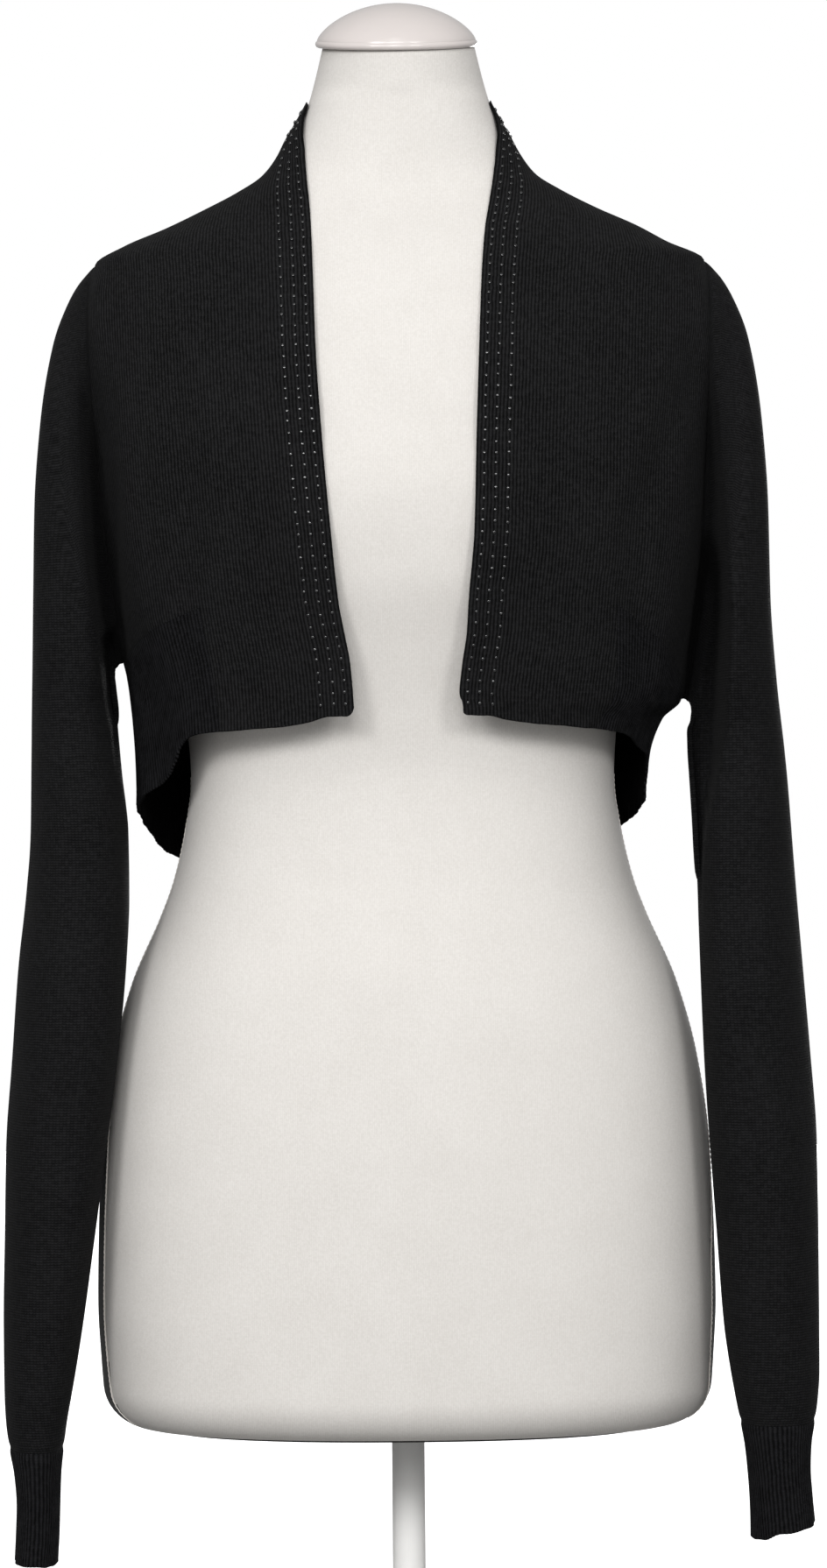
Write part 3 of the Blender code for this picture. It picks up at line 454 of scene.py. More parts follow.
# %% Fold tables
Fold = namedtuple("Fold", "side turn half_turn low high depth")
BODY_FOLDS = (
    Fold(RIGHT, 62, 15, 400, 560, 8.0),
    Fold(LEFT, 70, 13, 400, 545, 5.0),
    Fold(LEFT, 103, 11, 400, 520, 1.5),
    Fold(RIGHT, 150, 16, 400, 580, 4.5),
    Fold(LEFT, 146, 18, 400, 600, 4.0),
)
# Beside the armhole the cloth is pushed forwards in front and backwards behind, or drawn in
SPAN = table(
    "z push", (500, -5), (530, -8), (580, -10), (640, -9), (675, -4.5), (697, 0.5), (715, 5), (729, 5.5),
    (742, 2.5), (SHOULDER_TIP, 0),
)
SPAN_WIDTH = 11.0  # in from the armhole
SPAN_START = 26.0  # from the side seam, where the push starts from nothing
# The deep fold beside the front of each armhole: how far it falls back, and the reach of its two walls
FALL = {
    RIGHT: table(
        "z depth inner outer", (512, 0, 150, 158), (524, 9, 150, 159.5), (540, 12, 150.5, 161.5),
        (559, 13, 151, 164.5), (588, 13, 151.5, 167.5), (632, 9, 152, 170), (656, 6, 152.5, 171.5),
        (690, 0, 154, 173),
    ),
    LEFT: table(
        "z depth inner outer", (496, 0, 154, 174), (510, 10, 154.5, 175), (524, 14, 156, 176),
        (540, 15, 159, 176.5), (559, 15, 163.5, 177), (588, 12, 165, 175.5), (627, 10, 165, 173.5),
        (656, 7, 165.5, 172), (690, 0, 166, 170),
    ),
}
FALL_WALL = {RIGHT: 6.0, LEFT: 9.0}  # width of the fold's inner wall
FALL_RIM = 4.5  # and of its outer one
FALL_RIDGE = {RIGHT: 1.25, LEFT: 0.6}  # how far the cloth stands up beyond it, as a share of its depth
FALL_RIDGE_HALF = 10.0
# Above the fold the cloth bridges the hollow at the seam instead, from the shoulder to the sleeve
BRIDGE = table(
    "z push", (640, 0), (660, 3.5), (675, 6), (700, 8), (720, 9), (737, 8.5), (750, 2), (756, 0)
)
BRIDGE_HALF = 8.5
BRIDGE_START = 12.0  # from the side seam
print("folds in the body:", len(BODY_FOLDS), "  deepest at an armhole:", FALL[LEFT]["depth"].max(), "mm")

# %% [markdown]
# ## The body's surface
#
# Each level section is a rounded oval, a little squarer behind. At the height of the arms the
# sections bulge past the armhole seam, as a shirt would if its sleeves weren't cut in, and the
# armhole is the line where that bulge is cut off. Beside it the cloth spans the form's hollow, so
# that the shoulder runs smoothly into the sleeve.


# %% Body surface
FRONT_SQUARE, BACK_SQUARE = 2.25, 2.6  # 2 is an oval, more is squarer
ARMHOLE_BULGE = 7.5
EDGE_REACH = 0.985  # the front edge never quite reaches the side


def oval_point(turn, half_width, front, back, square_front, square_back):
    """Places across and towards the back on a rounded section, for an array of turns."""
    across, forward = np.sin(np.radians(turn)), np.cos(np.radians(turn))
    square = np.where(forward > 0, square_front, square_back)
    depth = np.where(forward > 0, front, back)
    x = half_width * np.abs(across) ** (2 / square) * np.sign(across)
    return x, -depth * np.abs(forward) ** (2 / square) * np.sign(forward)


def seam_reach(turn, z):
    return by_side(turn, along(BODY, "right", z), along(BODY, "left", z))


def half_width(turn, z):
    """Half a section's width, with the bulge that the armhole cuts off."""
    low = by_side(turn, UNDERARM[RIGHT], UNDERARM[LEFT])
    middle, half = (low + SHOULDER_TIP) / 2, (SHOULDER_TIP - low) / 2
    return seam_reach(turn, z) + ARMHOLE_BULGE * np.maximum(0, 1 - ((z - middle) / half) ** 2)


def body_point(turn, z):
    """Points of the body's outer face, for arrays of turns and heights."""
    turn, z = np.broadcast_arrays(np.asarray(turn, float), np.asarray(z, float))
    x, y = oval_point(
        turn, half_width(turn, z), along(BODY, "front", z), along(BODY, "back", z), FRONT_SQUARE, BACK_SQUARE
    )
    push = np.zeros_like(x)
    for fold in BODY_FOLDS:
        height = np.clip((fold.high - z) / (fold.high - fold.low), 0, 1)
        near = np.cos(pi / 2 * np.minimum(1, np.abs(own(turn) - fold.turn) / fold.half_turn)) ** 2
        here = by_side(turn, fold.side == RIGHT, fold.side == LEFT)
        push += here * fold.depth * near * np.sin(pi / 2 * height)
    keep = 1 - push / np.hypot(x, y)
    inwards = (seam_reach(turn, z) - np.abs(x)) / SPAN_WIDTH
    span = along(SPAN, "push", z) * np.exp(-(inwards**2)) * np.clip(y / SPAN_START, -1, 1)
    return np.stack([x * keep, y * keep + span, z], -1)


def eased(share):
    """A share from 0 to 1 that starts and ends softly."""
    share = np.clip(share, 0, 1)
    return share**2 * (3 - 2 * share)


def fall_back(points, side):
    """The cloth on both sides of the armhole's front, pressed back into the deep fold."""
    reach, front, z = np.abs(points[..., 0]), -points[..., 1], points[..., 2]
    inner, outer, depth = (along(FALL[side], column, z) for column in ("inner", "outer", "depth"))
    into = eased((reach - inner) / FALL_WALL[side] + 0.5)
    out = eased((outer - reach) / FALL_RIM + 0.5)
    ridge = FALL_RIDGE[side] * (1 - out) * np.exp(-(((reach - outer) / FALL_RIDGE_HALF) ** 2))
    push = depth * (into * out - ridge) * np.clip(front / SPAN_START, 0, 1)
    beside = reach - seam_reach(side, z) - 1
    lift = along(BRIDGE, "push", z) * np.exp(-((beside / BRIDGE_HALF) ** 2))
    push -= lift * np.clip(front / BRIDGE_START, 0, 1)
    return points + np.stack([0 * reach, push, 0 * reach], -1)


def unit(vectors):
    return vectors / np.maximum(np.linalg.norm(vectors, axis=-1, keepdims=True), 1e-9)


def body_normal(turn, z):
    """Which way is straight out of the body's surface."""
    across = body_point(turn + 0.5, z) - body_point(turn - 0.5, z)
    upward = body_point(turn, z + 0.5) - body_point(turn, z - 0.5)
    return unit(np.cross(across, upward))


def turn_of(share, square):
    """The turn whose section reaches out to this share of its half width."""
    return np.degrees(np.arcsin(np.clip(share, 0, 1) ** (square / 2)))


def edge_turn(side, z):
    """The front edge's turn at a height."""
    reach = along(FRONT_EDGE, "right" if side == RIGHT else "left", z)
    return turn_of(np.minimum(EDGE_REACH, reach / half_width(side, z)), FRONT_SQUARE)


def armhole_turn(side, z, behind=False):
    """The armhole seam's turn at a height, in front or behind. Outside the armhole, the side seam's."""
    turn = turn_of(seam_reach(side, z) / half_width(side, z), BACK_SQUARE if behind else FRONT_SQUARE)
    turn = np.where((z > UNDERARM[side]) & (z < SHOULDER_TIP), turn, 90.0)
    return 180 - turn if behind else turn


print("chest section at 650 mm:", body_point([0, 90], 650).round(1).tolist())

# %% [markdown]
# ## Creases
#
# Hanging knitwear has few sharp folds. It shows long shallow troughs where the front turns back
# towards the armhole, drag lines from the underarm, and little puckers where loose jersey meets
# tight ribbing. Each is a line of places on the body with a width and a depth, and it fades out
# towards both ends. They are uneven on purpose: the wearer's left pulls from the shoulder, the
# right hangs straight. The back, seen less often, gets creases of the same kind.


# %% Creases in the body
# Places are (turn, z). The half width and the depth are in millimetres, and out is positive
Crease = namedtuple("Crease", "places half depth")
BODY_CREASES = (
    # Wearer's right front: the long trough where it turns back, with a soft ridge before it
    Crease(((-41, 690), (-38.5, 612), (-43, 575), (-50.7, 480)), 9.0, -1.5),
    Crease(((-33, 690), (-31, 620), (-34, 560), (-36, 520)), 9.0, 0.8),
    Crease(((-56, 640), (-57, 590), (-60, 540)), 12.0, 0.9),
    Crease(((-80, 560), (-68, 590), (-60, 630)), 8.0, -1.2),
    Crease(((-74, 700), (-70, 660), (-70, 610)), 9.0, -1.2),
    # Wearer's left front: a pull from the shoulder down to the ribbing's corner
    Crease(((73, 712), (55, 655), (45, 600), (48, 562), (60, 490)), 12.0, -2.2),
    Crease(((62, 730), (46, 662), (36, 604), (38, 560)), 10.0, 1.0),
    Crease(((72, 640), (62, 596), (62, 560)), 11.0, 1.2),
    Crease(((84, 545), (72, 580), (66, 620)), 8.0, -1.4),
    # Puckers over the ribbing's seam
    Crease(((-68, 520), (-66, 500)), 4.0, -0.9),
    Crease(((-60, 548), (-59, 536)), 3.5, -0.7),
    Crease(((-76, 545), (-72, 556)), 4.0, -0.8),
    Crease(((72, 552), (69, 538)), 4.0, -0.8),
    Crease(((58, 560), (57, 547)), 3.5, -0.6),
    # Back: two long hollows beside the spine and drag lines to the armholes
    Crease(((152, 700), (156, 620), (150, 540), (146, 440)), 16.0, -1.8),
    Crease(((-158, 680), (-153, 610), (-154, 520), (-149, 440)), 15.0, -2.0),
    Crease(((170, 560), (172, 500), (168, 430)), 12.0, 1.4),
    Crease(((-172, 590), (-168, 520), (-170, 440)), 13.0, 1.2),
    Crease(((102, 560), (116, 600), (126, 650)), 10.0, -1.8),
    Crease(((-101, 575), (-113, 610), (-126, 640)), 10.0, -1.7),
    Crease(((104, 700), (118, 660), (128, 600)), 12.0, 1.4),
    Crease(((-106, 705), (-117, 655), (-124, 610)), 12.0, 1.2),
)


def relief(creases, across, up, mm_per_turn):
    """How far the cloth stands out at each place, from all creases together."""
    out = np.zeros(np.broadcast(across, up).shape)
    for crease in creases:
        places = np.array(crease.places, float)
        best = np.full(out.shape, np.inf)
        share = np.zeros(out.shape)
        lengths = np.hypot(np.diff(places[:, 0]) * mm_per_turn, np.diff(places[:, 1]))
        start = 0.0
        for (a0, z0), (a1, z1), length in zip(places, places[1:], lengths):
            dx = ((across - a0 + 180) % 360 - 180) * mm_per_turn
            dz = up - z0
            ex, ez = (a1 - a0) * mm_per_turn / length, (z1 - z0) / length
            t = np.clip(dx * ex + dz * ez, 0, length)
            away = np.hypot(dx - t * ex, dz - t * ez)
            nearer = away < best
            best = np.where(nearer, away, best)
            share = np.where(nearer, (start + t) / lengths.sum(), share)
            start += length
        fade = np.sin(pi * np.clip(0.12 + 0.76 * share, 0, 1))
        out += crease.depth * fade * np.exp(-((best / crease.half) ** 2))
    return out


print(len(BODY_CREASES), "creases on the body")

# %% [markdown]
# ## Meshes from points
#
# Every piece of this lesson is worked out as points and faces, so one function turns them into a
# mesh object. It scales millimetres to Blender's metres, writes the UV map that the stitches follow,
# and lets the piece ride on the CAD's one body.


# %% Meshes from points
def mesh_piece(name, spots, faces, corners_uv, *materials, slots=None, sharp=()):
    """A mesh object from points in millimetres, leaving out those that no face uses."""
    used = sorted({k for face in faces for k in face})
    number = {k: n for n, k in enumerate(used)}
    data = bpy.data.meshes.new(name)
    points = [tuple(np.asarray(spots[k]) * MM) for k in used]
    data.from_pydata(points, [], [[number[k] for k in face] for face in faces])
    layer = data.uv_layers.new(name="cloth")
    flat = np.array([c for face in corners_uv for c in face]) * MM
    layer.data.foreach_set("uv", flat.ravel())
    for material in materials:
        data.materials.append(material)
    if slots is not None:
        data.polygons.foreach_set("material_index", slots)
    data.shade_smooth()
    if sharp:
        edges = {frozenset((number[a], number[b])) for a, b in sharp}
        for edge in data.edges:
            edge.use_edge_sharp = frozenset(edge.vertices) in edges
    made = bpy.data.objects.new(name, data)
    bpy.context.scene.collection.objects.link(made)
    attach(made, "root")
    return made


def following(ring):
    """The next point of a closed ring, for each of its points."""
    return ring[1:] + ring[:1]


def ring_faces(ring, above):
    """Faces between two rings of points, the second above the first as seen from outside."""
    return [list(corners) for corners in zip(ring, following(ring), following(above), above)]


def tip_faces(ring, tip):
    """Faces between a ring and the one point above it."""
    return [[here, ahead, tip] for here, ahead in zip(ring, following(ring))]


def no_uv(faces):
    """Empty coordinates for the faces of a piece whose finish doesn't follow the cloth."""
    return [[(0, 0)] * len(face) for face in faces]


print("pieces ride on the body: root")

# %% [markdown]
# ## Cloth as a closed wall
#
# Each piece is a grid of points on its outer face. The function below thickens it inwards by the
# knit's 1.6 mm and rounds its edge with a middle row. A mask leaves cells out, as where the ribbing
# takes the front's lower corner. Free edges are rounder than seams. The cut size of a piece is
# simply the area and extent of its UV map.


# %% Cloth walls
CLOTH = 1.6
SEAM_ROUND, FREE_ROUND = 0.04, 0.6  # how far an edge's middle stands past its two skins, mm


def grid_normals(points, closed=False):
    if closed:
        across = np.roll(points, -1, 1) - np.roll(points, 1, 1)
    else:
        across = np.gradient(points, axis=1)
    return unit(np.cross(across, np.gradient(points, axis=0)))


def cell_corners(i, j):
    """A cell's corners, anticlockwise from outside, starting at its lower left."""
    return (i, j), (i, j + 1), (i + 1, j + 1), (i + 1, j)


def wall_border(cells, closed):
    """The cells' free sides, each as its two ends in the order of the cell's corners."""
    rows, columns = cells.shape
    for i, j in zip(*np.nonzero(cells)):
        corners = cell_corners(i, j)
        for side, (a, b) in enumerate(((i - 1, j), (i, j + 1), (i + 1, j), (i, j - 1))):
            b = b % columns if closed else b
            if not (0 <= a < rows and 0 <= b < columns and cells[a, b]):
                yield corners[side], corners[(side + 1) % 4]


def cloth_wall(name, points, uv, material, edge_round, cells=None, closed=False, thin=1.0):
    """A two-skinned piece from rows that run upwards and columns that run to the wearer's left."""
    rows, columns = points.shape[:2]
    normals = grid_normals(points, closed)
    if cells is None:
        cells = np.ones((rows - 1, columns if closed else columns - 1), bool)
    inner = points - CLOTH * normals * np.broadcast_to(thin, (rows, columns))[..., None]
    spots = [*points.reshape(-1, 3), *inner.reshape(-1, 3)]
    size = rows * columns
    faces, corners_uv = [], []

    def at(i, j):
        return i * columns + j % columns

    for cell in zip(*np.nonzero(cells)):
        ids = [at(*corner) for corner in cell_corners(*cell)]
        place = [tuple(uv[corner]) for corner in cell_corners(*cell)]
        faces += [ids, [k + size for k in reversed(ids)]]
        corners_uv += [place, place[::-1]]
    # The edge's middle points lie straight out from both skins
    border = list(wall_border(cells, closed))
    outward = {}
    for first, second in border:
        start, end = at(*first), at(*second)
        direction = unit(np.cross(spots[end] - spots[start], normals.reshape(-1, 3)[start]))
        for key in (start, end):
            outward[key] = outward.get(key, 0) + direction
    middle = {}
    for key, direction in outward.items():
        middle[key] = len(spots)
        bend = edge_round[key // columns, key % columns]
        spots.append((spots[key] + spots[key + size]) / 2 + unit(direction) * bend)
    for first, second in border:
        start, end = at(*first), at(*second)
        faces += [
            [end, start, middle[start], middle[end]],
            [middle[end], middle[start], start + size, end + size],
        ]
        here, there = tuple(uv[first]), tuple(uv[second])
        corners_uv += [[there, here, here, there]] * 2
    seams = [(at(*a), at(*b)) for a, b in border if edge_round[a[0], a[1] % columns] == SEAM_ROUND]
    return mesh_piece(name, spots, faces, corners_uv, material, sharp=seams)


def cut_size(uv, cells=None):
    """Width, length and area of a piece before it was sewn, in metres."""
    a, b, c, d = uv[:-1, :-1], uv[:-1, 1:], uv[1:, 1:], uv[1:, :-1]
    area = np.abs((c - a)[..., 0] * (d - b)[..., 1] - (c - a)[..., 1] * (d - b)[..., 0]) / 2
    used = np.ones(area.shape, bool) if cells is None else cells
    corners = np.concatenate([part[used] for part in (a, b, c, d)])
    width, length = (corners.max(0) - corners.min(0)) * MM
    return (float(width), float(length)), float(area[used].sum() * MM * MM)


print("cloth", CLOTH, "mm thick")

# %% [markdown]
# ## Where the rows run
#
# A front panel can't be a plain rectangle of rows. Its lowest rows end at the ribbing's front edge,
# the next follow the slanted rib seam, then they rise to the armhole and level out at the shoulder.
# Stacking these stretches gives one grid whose edges are exactly the seams. Points lie closer
# together near an edge, so that it can be rounded there.


# %% Rows of the body
SEAM_GAP = 0.2
SEAM_TURN = 0.018  # each piece's distance, as a turn, from the ribbing's front edge
SIDE_SEAM_TURN = 0.024  # and from a side seam
MM_PER_TURN = 2.6  # cloth round the body in one degree
ROW_STEP, COLUMN_STEP, FINE_STEP = 2.8, 2.6, 1.6  # mm between points, and beside the armhole
EDGE_POINTS = np.array([0.5, 1.1, 1.9, 2.9])  # mm in from an edge
RISE_ROWS, SHOULDER_ROWS = 84, 46
NECK_LIFT = 3.4
SHOULDER_LEVELS = SHOULDER_TIP + (NECK_POINT - SHOULDER_TIP) * np.concatenate(
    [np.linspace(0, 0.93, SHOULDER_ROWS + 1)[1:], [0.955, 0.975, 0.988, 1.0]]
)


def fractions(length, step):
    """Shares of a length at an even step, with a few finer ones at both ends for a rounded edge."""
    inside = np.linspace(0, 1, max(2, round(length / step)) + 1)
    near = EDGE_POINTS / length
    inside = inside[(inside > near[-1] * 1.2) & (inside < 1 - near[-1] * 1.2)]
    return np.concatenate([[0], near, inside, 1 - near[::-1], [1]])


def denser(shares, length, within):
    """The same fractions, but closer together over a length before the end."""
    start = 1 - within / length
    kept = shares[(shares < start - 1 / length) | (shares > 1 - 4 / length)]
    count = int((within - 5) / FINE_STEP)
    return np.sort(np.concatenate([kept, np.linspace(start, 1 - 5 / length, count)]))


def walk(points):
    """How far along a line of points each of them lies."""
    return np.concatenate([[0], np.cumsum(np.linalg.norm(np.diff(points, axis=0), axis=-1))])


def first_row(turn):
    """Height of the row that starts at the underarm and keeps just above the ribbing."""
    side_low = by_side(turn, UNDERARM[RIGHT], UNDERARM[LEFT])
    middle = (UNDERARM[LEFT] + UNDERARM[RIGHT]) / 2
    behind = side_low + (middle - side_low) * (own(turn) - 90) / 90
    near, far = np.clip((own(turn) - 78) / 12, 0, None), np.clip((78 - own(turn)) / 40, 0, 1)
    in_front = rib_top(turn) + 2 + (UNDERARM_RISE - 2) * near**2 + 10 * far**2
    return np.where(own(turn) >= 90, behind, in_front)


def armhole_rows(side, behind=False):
    """Where each rising row ends: turns and heights, up the side seam and then round the armhole."""
    low = UNDERARM[side]
    heights = low + (SHOULDER_TIP - low) * (1 - np.cos(pi * np.linspace(0, 1, 800))) / 2
    turns = armhole_turn(side, heights, behind)
    start = float(first_row(side * (91.0 if behind else 90.0)))
    if start < low - 1:
        heights = np.concatenate([np.linspace(start, low, 12)[:-1], heights])
        turns = np.concatenate([np.full(11, 90.0), turns])
    walked = walk(np.stack([turns * MM_PER_TURN, heights], -1))
    at = np.linspace(0, walked[-1], RISE_ROWS + 1)[1:]
    return np.interp(at, walked, turns), np.interp(at, walked, heights)


def neck_level(turn, level):
    """A shoulder row's height: the top rows lift towards the shoulder seam, into a soft point."""
    share = (level - SHOULDER_TIP) / (NECK_POINT - SHOULDER_TIP)
    return level + NECK_LIFT * share**3 * np.exp(-(((own(turn) - 90) / 14) ** 2))


print("rows from underarm to neck:", RISE_ROWS + len(SHOULDER_LEVELS))

# %% [markdown]
# ## How the cloth finishes at its edges
#
# Knitwear curls at free edges and pulls in at seams. The front edges and hem get a soft roll and a
# slight wave. At every seam the two pieces dip together into a shallow groove, so that the joint
# shows as a soft dark line, as it does on the real garment. Round the neck the edge is stretched
# against the form, so there the cloth is thinner and hugs it.


# %% Edge and seam finish
RIB_DIP, RIB_GROOVE = 0.05, 2.4  # the ribbing's seam: its depth and half its width
TUBE_DIP = 0.6  # the cuff's seam
NECK_PULL = 0.6
NECK_THIN = 0.55  # how much of its thickness the cloth loses there


def groove(distance, depth, half=4.2):
    return -depth * np.exp(-((distance / half) ** 2))


def armhole_depth(z):
    """The armhole's groove: none over the shoulder, deepest under the arm."""
    return 0.1 + 0.9 * np.clip((700 - z) / 110, 0, 1) ** 1.3


def free_roll(distance, place, wave, pitch):
    """A rolled edge: a low ridge just inside, a dip at the very edge, and a slight wave."""
    ridge = 0.4 * np.exp(-(((distance - 3.0) / 2.0) ** 2)) - 0.3 * np.exp(-((distance / 1.2) ** 2))
    swing = np.sin(2 * pi * place / pitch) + 0.6 * np.sin(2 * pi * place / (pitch * 0.37) + 1.3)
    return ridge + wave * swing * np.exp(-distance / 7)


def hem_swing(turns, distance):
    """The slight wave of the hem, the same on either side of a seam."""
    place = turns * MM_PER_TURN / 33
    swing = 0.45 * np.sin(2 * pi * place) + 0.25 * np.sin(2 * pi * place / 0.37 + 1.3)
    return swing * np.exp(-distance / 9)


def neck_hug(heights):
    """How closely the top of the neckline is stretched against the form: 0 to 1."""
    return np.clip((heights - 818) / 22, 0, 1) ** 2


print("groove at the shoulder and under the arm:", armhole_depth(750), armhole_depth(540), "mm")

# %% [markdown]
# ## The cloth's own coordinates
#
# Stitches don't stretch where a panel curves, so the UV map has to follow the cloth, as if the piece
# were peeled off and laid flat. Each step from point to point is measured along the surface, in its
# level and its upright direction, and the steps are added up from the first column.


# %% Coordinates along the body
def cloth_uv(points, turns):
    """Coordinates along the cloth: across from the first column, and up from the first row."""
    ahead = np.concatenate([np.diff(points, axis=1), np.zeros((len(points), 1, 3))], 1)
    level = unit(body_point(turns + 0.5, points[..., 2]) - body_point(turns - 0.5, points[..., 2]))
    upright = unit(np.cross(body_normal(turns, points[..., 2]), level))
    across = (ahead * level).sum(-1)
    rise = (ahead * upright).sum(-1)
    climb = np.diff(points[:, 0], axis=0)
    edge_up = np.concatenate([[0], np.cumsum((climb * upright[:-1, 0]).sum(-1))])
    u = np.concatenate([np.zeros((len(points), 1)), np.cumsum(across, 1)[:, :-1]], 1)
    v = edge_up[:, None] + np.concatenate([np.zeros((len(points), 1)), np.cumsum(rise, 1)[:, :-1]], 1)
    return np.stack([u, v - v[0, 0]], -1)


patch_turns = np.array([[40.0, 41.0], [40.0, 41.0]])
patch = cloth_uv(body_point(patch_turns, [[640.0], [650.0]]), patch_turns)
print("one degree by 10 mm of the chest measures", patch[1, 1].round(1).tolist(), "mm")

# %% [markdown]
# ## Grid of a front
#
# Each front is one cut piece of jersey from the opening to the side seam, armhole and shoulder
# seam, with its lower outer corner left for the ribbing. Its grid is built from the hem upwards in
# the four stretches named above. Every row keeps one column of points on the line that carries on
# from the ribbing's front edge, so no column bends sharply anywhere.


# %% Rows of a front
def front_grid(side):
    """Turns and heights of a front's points, its cells that are cloth, and the ribbing's corner."""
    top_turn = float(edge_turn(side, RIB_TOP))
    side_turn = 90 - SIDE_SEAM_TURN
    corner_share = (RIB_TURN[side] - top_turn) / (90 - top_turn)
    jersey = fractions((RIB_TURN[side] - top_turn) * MM_PER_TURN, COLUMN_STEP)
    beside_rib = (90 - RIB_TURN[side]) * MM_PER_TURN
    outer = denser(fractions(beside_rib, COLUMN_STEP)[1:], beside_rib, 30)
    turns, heights = [], []

    def columns(inner, last, corner=None):
        corner = inner + (last - inner) * corner_share if corner is None else corner
        return np.concatenate([inner + (corner - inner) * jersey, corner + (last - corner) * outer])

    # Beside the ribbing
    for share in fractions(RIB_DEPTH, ROW_STEP)[:-1]:
        corner = RIB_TURN_HEM[side] + (RIB_TURN[side] - RIB_TURN_HEM[side]) * share - SEAM_TURN
        row = columns(edge_turn(side, 500 + (RIB_TOP - 500) * share), side_turn, corner)
        low = hem_height(side * row)
        turns.append(row)
        heights.append(low + (rib_top(side * row) - low) * share)
    notch = len(turns)
    # Along the ribbing's top, levelling out towards the underarm
    row = columns(top_turn, side_turn, RIB_TURN[side] - SEAM_TURN)
    seam = rib_top(side * row) + 0.25 * SEAM_GAP
    start = float(first_row(0.0))
    for share in (0, 0.12, 0.3, 0.55, 0.8):
        edge = edge_turn(side, RIB_TOP + (start - RIB_TOP) * share)
        turns.append(row + (edge - top_turn) * np.linspace(1, 0, len(row)) ** 4)
        heights.append(seam + (first_row(side * turns[-1]) - seam) * share)
    # Rising, each row to its own place on the side seam and armhole
    shares = (row - row[0]) / (row[-1] - row[0])
    ends = np.concatenate([[[90.0], [float(first_row(side * 90.0))]], armhole_rows(side)], 1)
    for even, last, level in zip(np.linspace(0, 1, RISE_ROWS + 1), *ends):
        low = float(first_row(side * last))
        rise = even + ((level - low) / (SHOULDER_TIP - low) - even) * shares
        row = columns(edge_turn(side, start + (SHOULDER_TIP - start) * even), last - SIDE_SEAM_TURN)
        low = first_row(side * row)
        turns.append(row)
        heights.append(low + (SHOULDER_TIP - low) * rise)
    # Over the shoulder, level
    for level in SHOULDER_LEVELS:
        turns.append(columns(edge_turn(side, level), side_turn))
        heights.append(neck_level(turns[-1], level))
    corner = len(jersey) - 1
    cells = np.ones((len(turns) - 1, len(row) - 1), bool)
    cells[:notch, corner:] = False
    return side * np.array(turns), np.array(heights), cells, notch, corner


front_grids = {side: front_grid(side) for side in (RIGHT, LEFT)}
print("cells of the two fronts:", *(int(grid[2].sum()) for grid in front_grids.values()))

# %% [markdown]
# ## The two fronts
#
# Both fronts come from the same function and their own tables, so that their edges, folds and beads
# differ as they do in real life. The function adds everything that moves the cloth off its smooth
# section: creases, grooves at the seams, the rolled front edge, the waving hem and the close neck.
# The deep fold at the armhole comes last, because it moves the finished cloth as a whole.


# %% Fronts
FRONTS = {}
FAR = 99.0  # mm from a seam that doesn't reach here


def hem_corner(distance, radius):
    """How far a rounded corner lifts the hem, at a distance from its front edge."""
    return radius - np.sqrt(np.maximum(0, radius**2 - np.maximum(0, radius - distance) ** 2))


def make_front(side, name):
    turns, heights, cells, notch, corner = front_grids[side]
    rows, columns = np.arange(turns.shape[0])[:, None], np.arange(turns.shape[1])[None]
    uv = cloth_uv(body_point(turns, heights), turns)
    # Distances along the cloth, from the piece's own edges
    from_edge = np.abs(uv[..., 0])
    from_hem = uv[..., 1] - uv[0, :, 1]
    from_top = uv[-1, :1, 1] - uv[..., 1]
    from_side = np.abs(uv[..., 0] - uv[:, -1:, 0])
    over_rib = np.where(columns >= corner, np.abs(uv[..., 1] - uv[notch, :, 1]), FAR)
    beside_rib = np.where(rows <= notch, np.abs(uv[..., 0] - uv[:, corner : corner + 1, 0]), FAR)
    # Round the hem's corner, fading over the rows next to it
    heights = heights + hem_corner(from_edge, 4.0) * np.clip(1 - from_hem / 14, 0, 1)
    offset = relief(BODY_CREASES, turns, heights, MM_PER_TURN) * np.clip(from_side / 8, 0, 1)
    offset += groove(np.where(rows >= notch, from_side, FAR), armhole_depth(heights))
    offset += groove(np.minimum(over_rib, beside_rib), RIB_DIP, RIB_GROOVE)
    offset += free_roll(from_edge, heights, 0.25, 41) * np.clip(from_top / 12, 0.1, 1)
    offset += hem_swing(turns, from_hem) - NECK_PULL * neck_hug(heights)
    points = fall_back(body_point(turns, heights) + offset[..., None] * body_normal(turns, heights), side)
    edge_round = np.full(turns.shape, SEAM_ROUND)
    edge_round[:, 0] = edge_round[0] = FREE_ROUND
    edge_round[-1] = FREE_ROUND / 3
    grids = [points, uv, cells, edge_round, 1 - NECK_THIN * neck_hug(heights), from_edge, from_top]
    if side == RIGHT:  # columns run to the wearer's left
        grids = [grid[:, ::-1] for grid in grids]
    points, uv, cells, edge_round, thin, from_edge, from_top = grids
    FRONTS[side] = (points, from_edge, from_top)
    made = cloth_wall(name, points, uv, plain_knit, edge_round, cells, thin=thin)
    return made, cut_size(uv, cells)


front_right, front_right_cut = make_front(RIGHT, "cardigan_front_right")
front_left, front_left_cut = make_front(LEFT, "cardigan_front_left")
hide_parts("front_right")
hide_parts("front_left")
print("front cuts:", front_right_cut, front_left_cut)

# %% [markdown]
# ## The back
#
# The back is one wide piece from side seam to side seam. Its rows rise from the ribbing to the
# armholes like those of the fronts, only from both ends at once. Its neckline runs level round the
# neck, where the bead rows of the two fronts meet.


# %% Back
BACK_STEP = 3.2  # mm between columns


